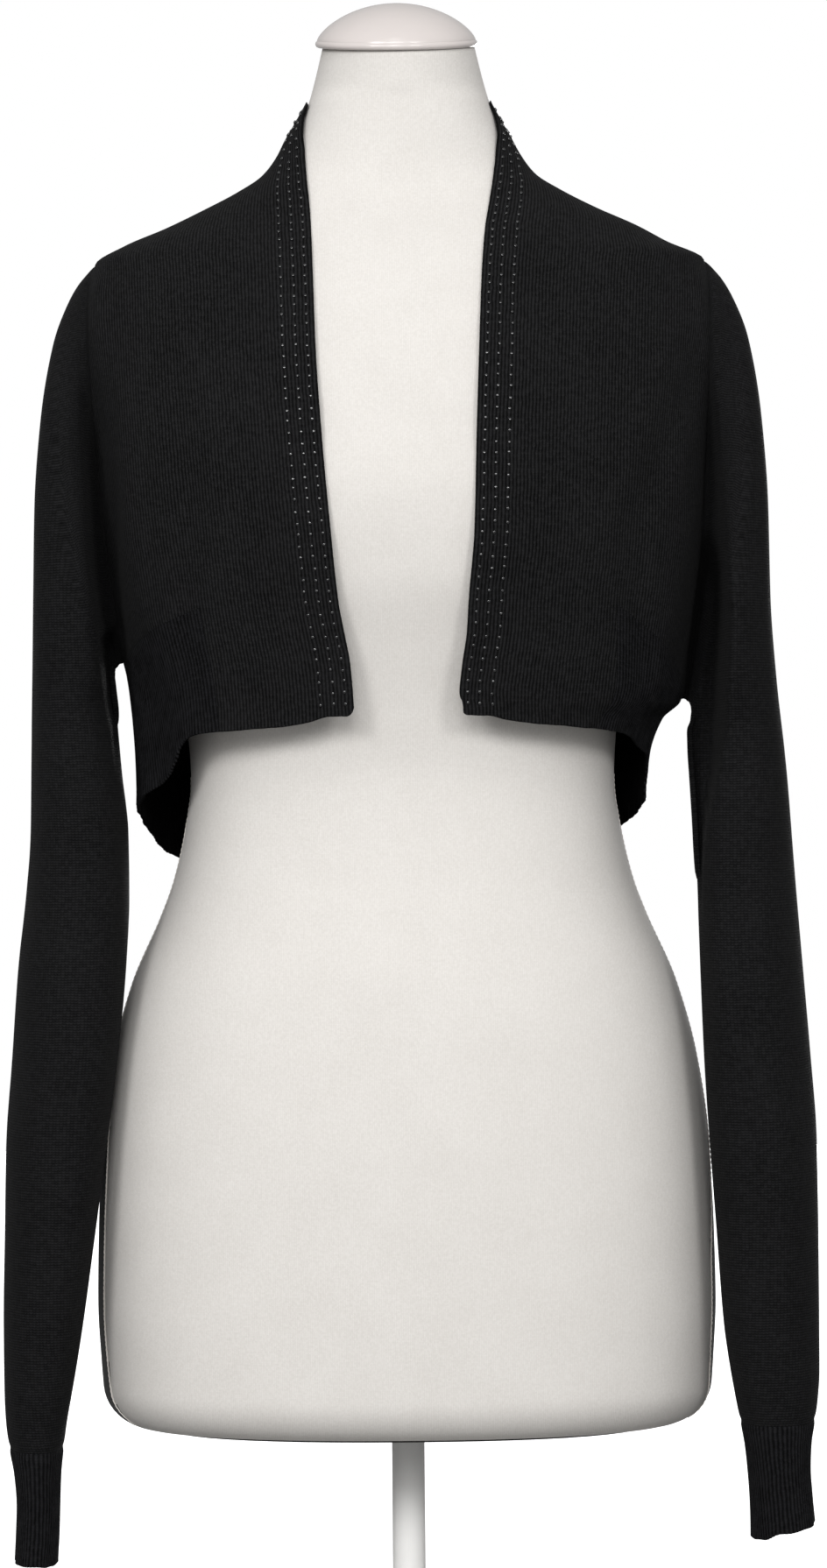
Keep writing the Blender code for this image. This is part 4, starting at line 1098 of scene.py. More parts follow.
def back_grid():
    """Turns and heights of the back's points."""
    shares = fractions(2 * 90 * MM_PER_TURN, BACK_STEP)
    seam_turn = 90 + SIDE_SEAM_TURN
    seams = seam_turn + (360 - 2 * seam_turn) * shares
    low = rib_top(seams) + 0.25 * SEAM_GAP
    turns, heights = [], []
    for share in (0, 0.03, 0.08, 0.15, 0.25, 0.4, 0.6, 0.8, 1.0):
        turns.append(seams)
        heights.append(low + (first_row(seams) - low) * share)
    to_left, to_right = np.maximum(0, 1 - 2 * shares), np.maximum(0, 2 * shares - 1)
    evens = np.linspace(0, 1, RISE_ROWS + 1)[1:]
    for even, *ends in zip(evens, *armhole_rows(LEFT, behind=True), *armhole_rows(RIGHT, behind=True)):
        left_turn, left_level, right_turn, right_level = ends
        left_turn, right_turn = left_turn + SIDE_SEAM_TURN, right_turn + SIDE_SEAM_TURN
        row = left_turn + (360 - right_turn - left_turn) * shares
        first = first_row(row)
        left = (left_level - first[0]) / (SHOULDER_TIP - first[0]) - even
        right = (right_level - first[-1]) / (SHOULDER_TIP - first[-1]) - even
        turns.append(row)
        heights.append(first + (SHOULDER_TIP - first) * (even + left * to_left + right * to_right))
    for level in SHOULDER_LEVELS:
        turns.append(seams)
        heights.append(neck_level(seams, level))
    return np.array(turns), np.array(heights)


def make_back(name):
    turns, heights = back_grid()
    smooth = body_point(turns, heights)
    uv = cloth_uv(smooth, turns)
    from_side = np.minimum(uv[..., 0], uv[:, -1:, 0] - uv[..., 0])
    from_rib = uv[..., 1] - uv[0, :, 1]
    from_top = uv[-1, :, 1] - uv[..., 1]
    offset = relief(BODY_CREASES, turns, heights, MM_PER_TURN) * np.clip(from_side / 8, 0, 1)
    offset += groove(from_side, armhole_depth(heights)) + groove(from_rib, RIB_DIP, RIB_GROOVE)
    offset -= NECK_PULL * neck_hug(heights)
    points = smooth + offset[..., None] * body_normal(turns, heights)
    edge_round = np.full(turns.shape, SEAM_ROUND)
    edge_round[-1] = FREE_ROUND / 3
    made = cloth_wall(name, points, uv, plain_knit, edge_round, thin=1 - NECK_THIN * neck_hug(heights))
    return made, points, from_top, cut_size(uv)


back, back_points, back_from_top, back_cut = make_back("cardigan_back")
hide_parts("back")
print("back cut:", back_cut)

# %% [markdown]
# ## Hem ribbing
#
# The ribs are modelled one by one: six points across each, pushed out and in along a rounded wave,
# flatter on top than in the groove. The ribs follow the piece's own columns, so they spread and
# close up with it instead of running off its edge. Their number is the width of the cloth divided
# by the rib's, so the cut width of a rib piece is a whole number of ribs.


# %% Hem ribbing
POINTS_PER_RIB = 6


def rib_wave(count):
    """Place in ribs of each column of points, and its outward push, over a number of ribs."""
    place = np.arange(count * POINTS_PER_RIB + 1) / POINTS_PER_RIB
    crown = np.abs(np.sin(pi * place)) ** 0.7
    return place, RIB_HEIGHT * (crown - 0.75)


def even_turns(start, end, z_at, count):
    """Turns that split the cloth between two turns into equal widths, and its whole width."""
    dense = np.linspace(start, end, 600)
    walked = walk(body_point(dense, z_at(dense))[:, :2])
    return np.interp(np.linspace(0, walked[-1], count), walked, dense), walked[-1]


def make_hem_rib(name, start_top, start_hem, end):
    """Hem ribbing between two turns. Its first edge may slant from the top to the hem."""

    def height(turn, share):
        return hem_height(turn) + (rib_top(turn) - 0.25 * SEAM_GAP - hem_height(turn)) * share

    ribs = round(even_turns(start_top, end, lambda turn: height(turn, 0.5), 2)[1] / RIB)
    place, wave = rib_wave(ribs)
    turns, heights = [], []
    for share in fractions(RIB_DEPTH, ROW_STEP):
        start = start_hem + (start_top - start_hem) * share
        row, _ = even_turns(start, end, lambda turn, share=share: height(turn, share), len(place))
        turns.append(row)
        heights.append(height(row, share))
    turns, heights = np.array(turns), np.array(heights)
    smooth = body_point(turns, heights)
    climb = np.cumsum(np.linalg.norm(np.diff(smooth, axis=0), axis=-1), 0)
    climb = np.concatenate([np.zeros((1, len(place))), climb])
    uv = np.stack([np.broadcast_to(place * RIB, climb.shape), climb], -1)
    from_ends = np.minimum(place, ribs - place) * RIB
    from_side = from_ends if abs(end - start_top) > 90 else (ribs - place) * RIB
    offset = relief(BODY_CREASES, turns, heights, MM_PER_TURN) * np.clip(from_side / 8, 0, 1)
    # The ribs flatten out towards the seams
    offset += wave * np.clip((climb[-1] - climb) / 8, 0, 1) * np.clip(from_ends / RIB, 0, 1)
    offset += groove(np.minimum(climb[-1] - climb, from_ends), RIB_DIP, RIB_GROOVE)
    offset += hem_swing(turns, climb)
    points = smooth + offset[..., None] * body_normal(turns, heights)
    edge_round = np.full(turns.shape, SEAM_ROUND)
    edge_round[0] = FREE_ROUND
    if end < start_top:  # columns run to the wearer's left
        points, uv, edge_round = points[:, ::-1], uv[:, ::-1], edge_round[:, ::-1]
    return cloth_wall(name, points, uv, rib_knit, edge_round), cut_size(uv), ribs


rib_pieces = {}
for side, word in ((RIGHT, "right"), (LEFT, "left")):
    rib_pieces[f"front_rib_{word}"] = make_hem_rib(
        f"cardigan_front_rib_{word}", side * (RIB_TURN[side] + SEAM_TURN),
        side * (RIB_TURN_HEM[side] + SEAM_TURN), side * (90 - SIDE_SEAM_TURN),
    )
rib_pieces["back_rib"] = make_hem_rib(
    "cardigan_back_rib", 90 + SIDE_SEAM_TURN, 90 + SIDE_SEAM_TURN, 270 - SIDE_SEAM_TURN
)
for node, (piece, cut, ribs) in rib_pieces.items():
    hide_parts(node)
    print(node, ribs, "ribs, cut", cut)

# %% [markdown]
# ## Sleeves
#
# A sleeve is a tube whose first ring is the armhole itself. Tilted ovals carry it round the
# shoulder, then level sections take it down to the cuff. Each level section has an outer and an
# inner reach, the middle and half of its depth, and a shear that lays it along the hip. Each tilted
# one has an outer and an inner point, and bows out along the armhole's own curve.

# %% Sleeve tables
SLEEVE_SQUARE = 2.3
SLEEVES = {
    RIGHT: table(
        "z outer inner centre half_depth shear",
        (44, 214.6, 191.4, -42, 36.5, 0.05), (60, 213.8, 190.0, -42, 36.0, 0.05),
        (76, 213.2, 189.3, -42, 36.0, 0.05), (92, 214.3, 188.6, -42, 36.6, 0.05),
        (106, 216.9, 187.0, -42, 38.0, 0.06), (122, 218.9, 184.8, -42, 40.0, 0.07),
        (140, 219.6, 181.4, -42, 42.5, 0.08), (172, 219.8, 176.0, -42, 45.0, 0.10),
        (221, 218.9, 169.0, -41, 47.5, 0.12), (269, 217.9, 162.4, -39, 49.0, 0.13),
        (317, 214.4, 156.2, -36, 50.0, 0.13), (366, 211.0, 151.4, -31, 51.0, 0.12),
        (405, 206.8, 149.6, -25, 52.0, 0.09), (440, 204.2, 150.2, -19, 53.5, 0.06),
        (472, 203.8, 153.8, -13, 55.0, 0.04), (505, 203.4, 157.0, -7, 56.5, 0.02),
    ),
    LEFT: table(
        "z outer inner centre half_depth shear",
        (54, 221.8, 186.4, -43, 36.0, 0.05), (76, 219.8, 185.4, -43, 36.0, 0.05),
        (92, 218.8, 184.2, -43, 37.0, 0.05), (105, 219.4, 182.8, -43, 38.0, 0.06),
        (120, 221.9, 180.0, -43, 39.5, 0.07), (143, 224.2, 175.8, -43, 42.0, 0.08),
        (172, 224.4, 171.8, -43, 44.5, 0.10), (221, 224.5, 168.4, -42, 47.0, 0.12),
        (269, 224.2, 165.2, -40, 49.0, 0.13), (317, 221.3, 162.6, -37, 50.0, 0.13),
        (366, 217.8, 161.2, -32, 51.0, 0.12), (405, 215.1, 160.4, -26, 52.0, 0.09),
        (438, 213.0, 159.8, -20, 53.5, 0.06), (462, 211.5, 158.8, -15, 54.5, 0.04),
        (490, 209.2, 157.4, -9, 56.0, 0.02),
    ),
}
Head = namedtuple("Head", "outer outer_z inner inner_drop half_depth centre bow")
SLEEVE_HEAD = {
    RIGHT: (
        Head(173.6, 744.5, 157.6, 1.4, 46.0, 1.0, 7.0),
        Head(180.8, 733.0, 158.6, 3.0, 52.5, 0.0, 6.4),
        Head(189.6, 710.0, 159.2, 5.0, 57.0, -1.0, 5.0),
        Head(197.0, 668.0, 159.4, 7.8, 59.0, -2.0, 3.0),
        Head(200.8, 620.0, 159.0, 11.0, 59.0, -3.5, 1.4),
        Head(201.8, 574.0, 158.4, 16.0, 58.5, -5.0, 0.4),
        Head(202.5, 536.0, 157.6, 22.5, 57.5, -6.0, 0.0),
    ),
    LEFT: (
        Head(176.0, 744.5, 157.8, 1.4, 46.0, 1.0, 7.0),
        Head(183.2, 733.0, 158.8, 3.0, 52.5, 0.0, 6.4),
        Head(191.9, 710.0, 159.4, 5.0, 57.0, -1.0, 5.0),
        Head(198.6, 668.0, 159.6, 7.8, 59.0, -2.5, 3.0),
        Head(202.0, 618.0, 159.2, 11.0, 59.0, -4.0, 1.4),
        Head(202.8, 566.0, 158.6, 15.0, 58.5, -6.0, 0.4),
        Head(205.6, 522.0, 157.8, 20.0, 57.5, -7.5, 0.0),
    ),
}
CUFF_TOP = {RIGHT: 107.0, LEFT: 118.5}
CUFF_HEM = {
    RIGHT: (44.5, 46.0, 46.5, 45.0, 43.5, 43.0, 43.0, 44.0),
    LEFT: (62.2, 62.5, 61.0, 56.5, 54.5, 56.0, 59.0, 62.0),
}
print("sleeve sections:", len(SLEEVES[RIGHT]["z"]), len(SLEEVES[LEFT]["z"]))

# %% [markdown]
# ## Creases in the sleeves
#
# The sleeve's creases are placed by an angle round the tube, 0 on its outer side, 90 in front and
# 180 against the body. Both sleeves hang slightly flattened, with a long soft trough down the
# front and another behind, and a few slack folds at the crook of the elbow.
#
# The largest fold is a tuck, where the inner front of the sleeve lies back beside its inner side.
# Its crisp outer fold runs at a share across the tube, -1 at the inner side and 1 at the outer.

# %% Sleeve creases
SLEEVE_CREASES = {
    RIGHT: (
        Crease(((84, 520), (82, 400), (80, 260), (78, 130)), 8.0, -1.3),
        Crease(((40, 700), (44, 600), (46, 480)), 10.0, 0.9),
        Crease(((60, 330), (96, 318), (132, 332)), 9.0, -0.7),
        Crease(((50, 300), (90, 284), (126, 290)), 8.0, 0.6),
        Crease(((270, 560), (276, 400), (272, 200)), 10.0, -1.5),
        Crease(((250, 350), (285, 330), (315, 340)), 10.0, 0.8),
        Crease(((60, 150), (64, 128)), 6.0, -0.6),
        Crease(((120, 146), (122, 124)), 6.0, 0.5),
    ),
    LEFT: (
        Crease(((92, 480), (90, 400), (88, 300), (84, 140)), 9.0, -1.5),
        Crease(((103, 560), (104, 515), (113, 470), (136, 433)), 4.0, 0.8),
        Crease(((120, 560), (122, 420), (118, 300)), 12.0, 0.9),
        Crease(((36, 690), (42, 580), (44, 470)), 10.0, 0.8),
        Crease(((54, 345), (88, 330), (124, 338)), 9.0, -0.7),
        Crease(((46, 250), (82, 236), (120, 246)), 9.0, 0.6),
        Crease(((268, 580), (272, 430), (268, 220)), 10.0, -1.4),
        Crease(((70, 160), (70, 136)), 6.0, -0.8),
        Crease(((40, 150), (42, 130)), 5.0, 0.5),
    ),
}
SLEEVE_MM_PER_TURN = 0.75
TUCK = {
    RIGHT: table("z share depth", (470, -0.86, 0), (488, -0.86, 0.5), (505, -0.86, 0.9)),
    LEFT: table(
        "z share depth", (392, -0.86, 0), (418, -0.84, 0.9), (438, -0.76, 1), (462, -0.48, 1),
        (490, -0.26, 1),
    ),
}
HEAD_TUCK = {RIGHT: -0.82, LEFT: -0.22}  # the share all the way up the sleeve head
print(sum(len(c) for c in SLEEVE_CREASES.values()), "creases on the sleeves")

# %% [markdown]
# ## Rings of a sleeve
#
# The armhole ring is taken from the body's own surface, groove and all, so that sleeve and body
# never part. The other rings are rounded ovals. Over the shoulder the sleeve has to leave its seam
# in the direction in which the body's cloth arrives, or a kink would show in the outline, so that
# direction is worked out as well.


# %% Rings of a sleeve
SLEEVE_AROUND = 128
SLEEVE_GAP = 0.02  # between the sleeve's sewn edge and the body's
ANGLES = 180 + 360 * np.arange(SLEEVE_AROUND) / SLEEVE_AROUND  # the UV map's join runs under the arm


def oval_shares(angle, tuck, tuck_depth=1.0):
    """A sleeve section. Up to the tuck's share across, its front lies back beside the inner side."""
    across, forward = np.cos(np.radians(angle)), np.sin(np.radians(angle))
    power = 2 / SLEEVE_SQUARE
    across = np.abs(across) ** power * np.sign(across)
    forward = np.abs(forward) ** power * np.sign(forward)
    corner = np.maximum(0, 1 - np.abs(tuck) ** SLEEVE_SQUARE) ** (1 / SLEEVE_SQUARE)
    place = np.clip((across + 1) / np.maximum(tuck + 1, 1e-6), 0, 1)
    hollow = 0.12 * np.sin(pi * np.clip(place / 0.85, 0, 1)) * np.clip((tuck + 1) / 0.2, 0, 1)
    lying = corner * eased((place - 0.75) / 0.25) - hollow
    drawn_in = (forward > 0) & (across < tuck)
    return across, forward + tuck_depth * np.where(drawn_in, np.minimum(0, lying - forward), 0)


def armhole_place(side, angle):
    """The armhole seam's turn and height at each angle round the sleeve."""
    low = UNDERARM[side]
    z = (low + SHOULDER_TIP) / 2 + np.cos(np.radians(angle)) * (SHOULDER_TIP - low) / 2
    front, behind = armhole_turn(side, z), armhole_turn(side, z, behind=True)
    return side * np.where(np.sin(np.radians(angle)) < 0, behind, front), z


def armhole_ring(side, angle):
    """The sleeve's sewn edge, on the body's armhole, at the bottom of the seam's groove."""
    turn, z = armhole_place(side, angle)
    on_body = body_point(turn, z) - armhole_depth(z)[..., None] * body_normal(turn, z)
    return on_body + np.array([side * SLEEVE_GAP, 0, 0])


def armhole_slope(side, angle, ring, next_ring, gap):
    """Which way the sleeve leaves its seam: over the shoulder it carries on the body's own surface."""
    turn, z = armhole_place(side, angle)
    normal = body_normal(turn * 0.98, z + 3 * np.maximum(0, np.cos(np.radians(angle))))
    seam = unit(np.roll(ring, -1, 0) - np.roll(ring, 1, 0))
    onward = unit(np.cross(normal, seam))
    onward *= np.sign((onward * [side, 0, 0]).sum(-1, keepdims=True))
    straight = (next_ring - ring) / gap
    along_body = onward * np.linalg.norm(straight, axis=-1, keepdims=True)
    share = np.clip((z - 685) / 50, 0, 1)[:, None]
    return straight * (1 - share) + along_body * share


def head_ring(side, row, angle):
    across, forward = oval_shares(angle, HEAD_TUCK[side])
    inner_z = UNDERARM[side] - row.inner_drop
    x = (row.outer + row.inner) / 2 + across * (row.outer - row.inner) / 2 + row.bow * (1 - across**2)
    z = (row.outer_z + inner_z) / 2 + across * (row.outer_z - inner_z) / 2
    return np.stack([side * x, row.centre - forward * row.half_depth, z], -1)


def sleeve_point(side, angle, z):
    outer, inner, centre, half_depth, shear = (
        along(SLEEVES[side], column, z) for column in ("outer", "inner", "centre", "half_depth", "shear")
    )
    across, forward = oval_shares(angle, along(TUCK[side], "share", z), along(TUCK[side], "depth", z))
    thick = np.sqrt(((outer - inner) / 2) ** 2 - (shear * half_depth) ** 2)
    y = -forward * half_depth
    x = (outer + inner) / 2 + across * thick + shear * y
    return np.stack(np.broadcast_arrays(side * x, centre + y, z), -1)


for side, word in ((RIGHT, "right"), (LEFT, "left")):
    print("armhole", word, "round:", round(float(walk(armhole_ring(side, ANGLES))[-1])), "mm")

# %% [markdown]
# ## Tubes
#
# Sleeves, cuffs and the form's body are tubes, so their helpers are shared. One fills in rings
# between the given ones, on smooth curves along every column. One finds which way is out. One lays
# the tube's cloth flat for its UV map, from a join that is turned out of sight.


# %% Tubes
def refine(rings, places, targets, last_slope=None):
    """Rings at new places, on smooth curves through the given rings that never overshoot them."""
    steps = np.diff(rings, axis=0) / np.diff(places)[:, None, None]
    product, total = steps[:-1] * steps[1:], steps[:-1] + steps[1:]
    inner = np.where(product > 0, 2 * product / np.where(product > 0, total, 1), 0)
    slopes = np.concatenate([steps[:1], inner, steps[-1:] if last_slope is None else last_slope[None]])
    i = np.clip(np.searchsorted(places, targets, side="right") - 1, 0, len(places) - 2)
    width = (places[i + 1] - places[i])[:, None, None]
    t = ((targets - places[i]) / (places[i + 1] - places[i]))[:, None, None]
    return (
        rings[i] * (1 + 2 * t) * (1 - t) ** 2 + rings[i + 1] * t * t * (3 - 2 * t)
        + slopes[i] * width * t * (1 - t) ** 2 - slopes[i + 1] * width * t * t * (1 - t)
    )


def ring_places(rings):
    """How far along a tube each ring lies, by the mean step of its points."""
    return np.concatenate([[0], np.cumsum(np.linalg.norm(np.diff(rings, axis=0), axis=-1).mean(1))])


def tube_normals(points):
    """Outward normals, whichever way round the rings run."""
    normals = grid_normals(points, closed=True)
    outward = ((points - points.mean(1, keepdims=True)) * normals).sum(-1, keepdims=True)
    return normals * np.sign(outward.mean())


def facing(points, uv):
    """Turn the columns round if the wall would face inwards."""
    normals = grid_normals(points, closed=True)
    if ((points - points.mean(1, keepdims=True)) * normals).sum() < 0:
        points, uv = np.roll(points[:, ::-1], 1, 1), uv[:, ::-1]
    return points, uv


def tube_uv(points):
    """Coordinates along an upright tube, with one more column to close it: round it and up it."""
    looped = np.concatenate([points, points[:, :1]], 1)
    normals = tube_normals(points)
    normals = np.concatenate([normals, normals[:, :1]], 1)
    level = unit(np.cross([0, 0, 1.0], normals))
    upright = np.cross(normals, level)
    step = np.diff(looped, axis=1)
    around = (step * (level[:, 1:] + level[:, :-1]) / 2).sum(-1)
    rise = (step * (upright[:, 1:] + upright[:, :-1]) / 2).sum(-1)
    middle = points.shape[1] // 2  # both ways round from the column opposite the join
    climb = (np.diff(looped[:, middle], axis=0) * upright[:-1, middle]).sum(-1)

    def both_ways(steps):
        total = np.concatenate([np.zeros((len(points), 1)), np.cumsum(steps, 1)], 1)
        return total - total[:, middle : middle + 1]

    v = np.concatenate([[0], np.cumsum(climb)])[:, None] + both_ways(rise)
    return np.stack([both_ways(around), v], -1)


print("a sleeve's rings have", len(ANGLES), "points")

# %% [markdown]
# ## The two sleeves
#
# The rings from armhole to cuff are refined to rows 2.8 mm apart, closer near the seam. Creases and
# the groove at the cuff move the points outwards or inwards, and the upper front falls back into
# the same deep fold as the body beside it. The sleeve is closed all round, so its wall has only two
# edges, both sewn.


# %% Sleeves
def make_sleeve(side, name):
    levels = np.linspace(SLEEVES[side]["z"][-1] - 9, CUFF_TOP[side] + SEAM_GAP / 2, 30)
    rings = [armhole_ring(side, ANGLES)] + [head_ring(side, row, ANGLES) for row in SLEEVE_HEAD[side]]
    rings += [sleeve_point(side, ANGLES, z) for z in levels]
    rings = np.array(rings)[::-1]
    places = ring_places(rings)
    length = places[-1]
    targets = denser(fractions(length, ROW_STEP), length, 42) * length
    slope = armhole_slope(side, ANGLES, rings[-1], rings[-2], length - places[-2])
    points = refine(rings, places, targets, -slope)
    level = points[..., 2]
    offset = relief(SLEEVE_CREASES[side], ANGLES[None] + 0 * level, level, SLEEVE_MM_PER_TURN)
    offset *= np.clip((length - targets[:, None]) / 12, 0, 1)
    offset += groove(targets[:, None], TUBE_DIP, RIB_GROOVE)
    points = points + offset[..., None] * tube_normals(points)
    uv = tube_uv(points)
    points, uv = facing(fall_back(points, side), uv)
    edge_round = np.full(points.shape[:2], SEAM_ROUND)
    return cloth_wall(name, points, uv, sleeve_knit, edge_round, closed=True), cut_size(uv)


sleeves = {}
for side, word in ((RIGHT, "right"), (LEFT, "left")):
    sleeves[side], cut = make_sleeve(side, f"cardigan_sleeve_{word}")
    sleeves[side, "cut"] = cut
    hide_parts(f"sleeve_{word}")
    print("sleeve", word, "cut", cut)

# %% [markdown]
# ## Cuffs
#
# Long ribbed cuffs, made like the hem ribbing but round a tube. They carry on the sleeve's own
# sections, so only their hem needs a table, its height at eight places round. The ribs have to close
# round the tube, so their number is a whole one.


# %% Cuffs
def cuff_hem(side, angle):
    """The hem's height at each angle, eased from one of its places to the next."""
    heights = np.array(CUFF_HEM[side])
    place = (angle % 360) / 360 * len(heights)
    k = place.astype(int)
    share = (1 - np.cos(pi * (place - k))) / 2
    return heights[k % len(heights)] * (1 - share) + heights[(k + 1) % len(heights)] * share


def make_cuff(side, name):
    top, middle_hem = CUFF_TOP[side] - SEAM_GAP / 2, 50
    dense = 180 + np.linspace(0, 360, 721)
    ring = sleeve_point(side, dense, (top + middle_hem) / 2)
    walked = walk(ring)
    ribs = round(walked[-1] / RIB)
    place, wave = rib_wave(ribs)
    angles = np.interp(place / ribs * walked[-1], walked, dense)[:-1]
    place, wave = place[:-1], wave[:-1]
    shares = fractions(top - middle_hem, ROW_STEP)[:, None]
    low = cuff_hem(side, angles)[None]
    z = low + (top - low) * shares
    points = sleeve_point(side, angles[None] + 0 * z, z)
    climb = z - low
    soft = 0.5 * np.sin(2 * pi * place / ribs * 3 + 1) + 0.3 * np.sin(2 * pi * place / ribs * 7)
    settle = np.clip((top - z) / 3, 0.35, 1)
    offset = wave[None] * settle + groove(top - z, TUBE_DIP, 2.0) + soft * np.exp(-climb / 14)
    points = points + offset[..., None] * tube_normals(points)
    height = np.concatenate([climb, climb[:, :1]], 1)
    uv = np.stack([np.broadcast_to(np.append(place, ribs) * RIB, height.shape), height], -1)
    points, uv = facing(points, uv)
    edge_round = np.full(points.shape[:2], SEAM_ROUND)
    edge_round[0] = FREE_ROUND
    return cloth_wall(name, points, uv, rib_knit, edge_round, closed=True), cut_size(uv), ribs


cuffs = {}
for side, word in ((RIGHT, "right"), (LEFT, "left")):
    cuffs[side], cut, ribs = make_cuff(side, f"cardigan_cuff_{word}")
    cuffs[side, "cut"] = cut
    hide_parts(f"cuff_{word}")
    print("cuff", word, ribs, "ribs, cut", cut)

# %% [markdown]
# ## Rows of beads
#
# Three rows of beads are sewn along the opening, from hem to hem round the back of the neck. A row
# keeps its distance from the edge: up beside the front edge, then round to the shoulder seam below
# the top edge. Each grid row or column of a piece is searched for the place at that distance, and
# the beads are then spaced evenly along the path. Hand-sewn rows are never quite even, so every bead
# gets a little play, from a seeded random generator that gives the same result on every run.

# %% Rows of beads
BEAD_ROWS = (3.8, 10.2, 17.0)  # mm in from the edge
BEAD_PITCH = 6.1
chance = np.random.default_rng(7)


def at_distance(points, distance, target):
    """On each row of points, the place where its distance passes a target, or no number."""
    found = np.full((len(points), 3), np.nan)
    for place, row, away in zip(found, points, distance):
        order = np.argsort(away)
        if away[order[0]] <= target <= away[order[-1]]:
            place[:] = [np.interp(target, away[order], row[order, k]) for k in range(3)]
    return found


def bead_line(side, target):
    """The path of one bead row on a front: up beside its edge, then round to the shoulder seam."""
    points, from_edge, from_top = FRONTS[side]
    normals = grid_normals(points)
    rows = from_top[:, -1 if side == RIGHT else 0] >= target
    shoulder = from_edge[-8]  # one of the level rows near the top
    columns = np.nonzero(shoulder >= target)[0]
    columns = columns[np.argsort(shoulder[columns])]
    away = from_top[:, columns].T
    path, out = (
        np.concatenate([
            at_distance(grid[rows], from_edge[rows], target),
            at_distance(np.swapaxes(grid[:, columns], 0, 1), away, target),
        ])
        for grid in (points, normals)
    )
    good = ~np.isnan(path).any(1)
    return path[good], out[good]


def bead_spots(path, facing_out, start, end):
    """Evenly spaced places along a path, each with a little play."""
    walked = walk(path)
    count = int((walked[-1] - start - end) / BEAD_PITCH)
    at = start + np.arange(count + 1) * (walked[-1] - start - end) / count
    at = at + chance.uniform(-0.7, 0.7, len(at))
    spot, out = (
        np.stack([np.interp(at, walked, line[:, k]) for k in range(3)], -1) for line in (path, facing_out)
    )
    return spot + chance.uniform(-0.25, 0.25, spot.shape), unit(out)


print("bead rows:", len(BEAD_ROWS), "on each piece")

# %% [markdown]
# ## Glass beads
#
# Each bead is jet glass, 1.9 mm across, with a steep rim and a broad, hardly domed crown that
# flashes when it faces a lamp. It is a small turned shape, so a profile is repeated round the
# cloth's outward direction. Every bead leans a little its own way, and the whole row is one mesh.

# %% Glass beads
BEAD = 1.9  # mm across
BEAD_SIDES = 10
BEAD_HEIGHT = 0.75
# Rings of the profile, from the foot up: shares of the radius, and heights in millimetres
BEAD_PROFILE = ((0.9, -0.4), (1.0, 0.0), (0.97, 0.4), (0.8, 0.62), (0.45, 0.72))


def bead_ways(out):
    """Two directions that lie level with a bead's rim."""
    side_way = unit(np.cross(out, [0, 0, 1.0]))
    return side_way, np.cross(side_way, out)


def bead_piece(name, groups):
    """All beads of one piece of the cardigan, as one mesh of small domes."""
    spots, faces = [], []
    for centre, out in ((c, o) for spot, normal in groups for c, o in zip(spot, normal)):
        side_way, up_way = bead_ways(out)
        out = unit(out + side_way * chance.normal(0, 0.07) + up_way * chance.normal(0, 0.07))
        side_way, up_way = bead_ways(out)
        radius = BEAD / 2 * chance.uniform(0.92, 1.06)
        rings = []
        for reach, height in BEAD_PROFILE:
            rings.append([len(spots) + k for k in range(BEAD_SIDES)])
            for turn in 2 * pi * np.arange(BEAD_SIDES) / BEAD_SIDES:
                flat = reach * (np.cos(turn) * side_way + np.sin(turn) * up_way)
                spots.append(centre + radius * flat + height * out)
        for ring, above in zip(rings, rings[1:]):
            faces += ring_faces(ring, above)
        faces += tip_faces(rings[-1], len(spots))
        faces.append(rings[0][::-1])
        spots.append(centre + BEAD_HEIGHT * out)
    return mesh_piece(name, spots, faces, no_uv(faces), jet_glass)


for side, word in ((RIGHT, "right"), (LEFT, "left")):
    lines = [bead_spots(*bead_line(side, row), 6.0, 1.0) for row in BEAD_ROWS]
    bead_piece(f"beads_front_{word}", lines)
    print("beads on the front,", word + ":", sum(len(spot) for spot, _ in lines))
neck_columns = [np.swapaxes(grid, 0, 1) for grid in (back_points, grid_normals(back_points))]
neck_lines = [
    bead_spots(*(at_distance(columns, back_from_top.T, row) for columns in neck_columns), 4.0, 4.0)
    for row in BEAD_ROWS
]
bead_piece("beads_back_neck", neck_lines)
print("beads round the back neck:", sum(len(spot) for spot, _ in neck_lines))

# %% [markdown]
# ## The cloth's cut sizes
#
# The flat size of each piece of the cardigan is read from its own UV map, as a cutter would read it
# from the pattern.


print("sheets declared:", 3 + len(rib_pieces) + 2 * 2)

# %% [markdown]
# ## The dress form
#
# The form's cover is sewn from an ivory front and a black back. The seam between them runs down
# each side and swings forward over the hip, where a strip of the black shows from the front. The
# form is one closed mesh with two materials, and a line of ivory overlock thread follows each seam.

# %% Form body
FORM_AROUND = 192
FORM_SQUARE = 2.3
FORM_BOTTOM, FOOT_ROUNDING, FOOT_ROWS = 114.0, 22.0, 10
FORM_ROW_STEP = 4.0
NECK_START = 839.0
NECK_SWAY = 1.2  # the neck stands a little to the wearer's left, from the shoulders up
SWAY_START, SWAY_END = 780.0, 830.0
FORM_SEAM = {
    RIGHT: table(
        "z turn", (114, 70), (134, 73), (166, 74.5), (231, 74.5), (295, 77), (343, 88), (500, 92),
        (868, 92),
    ),
    LEFT: table(
        "z turn", (114, 81), (134, 78.5), (171, 77), (199, 77), (231, 80), (295, 89), (343, 92),
        (868, 92),
    ),
}


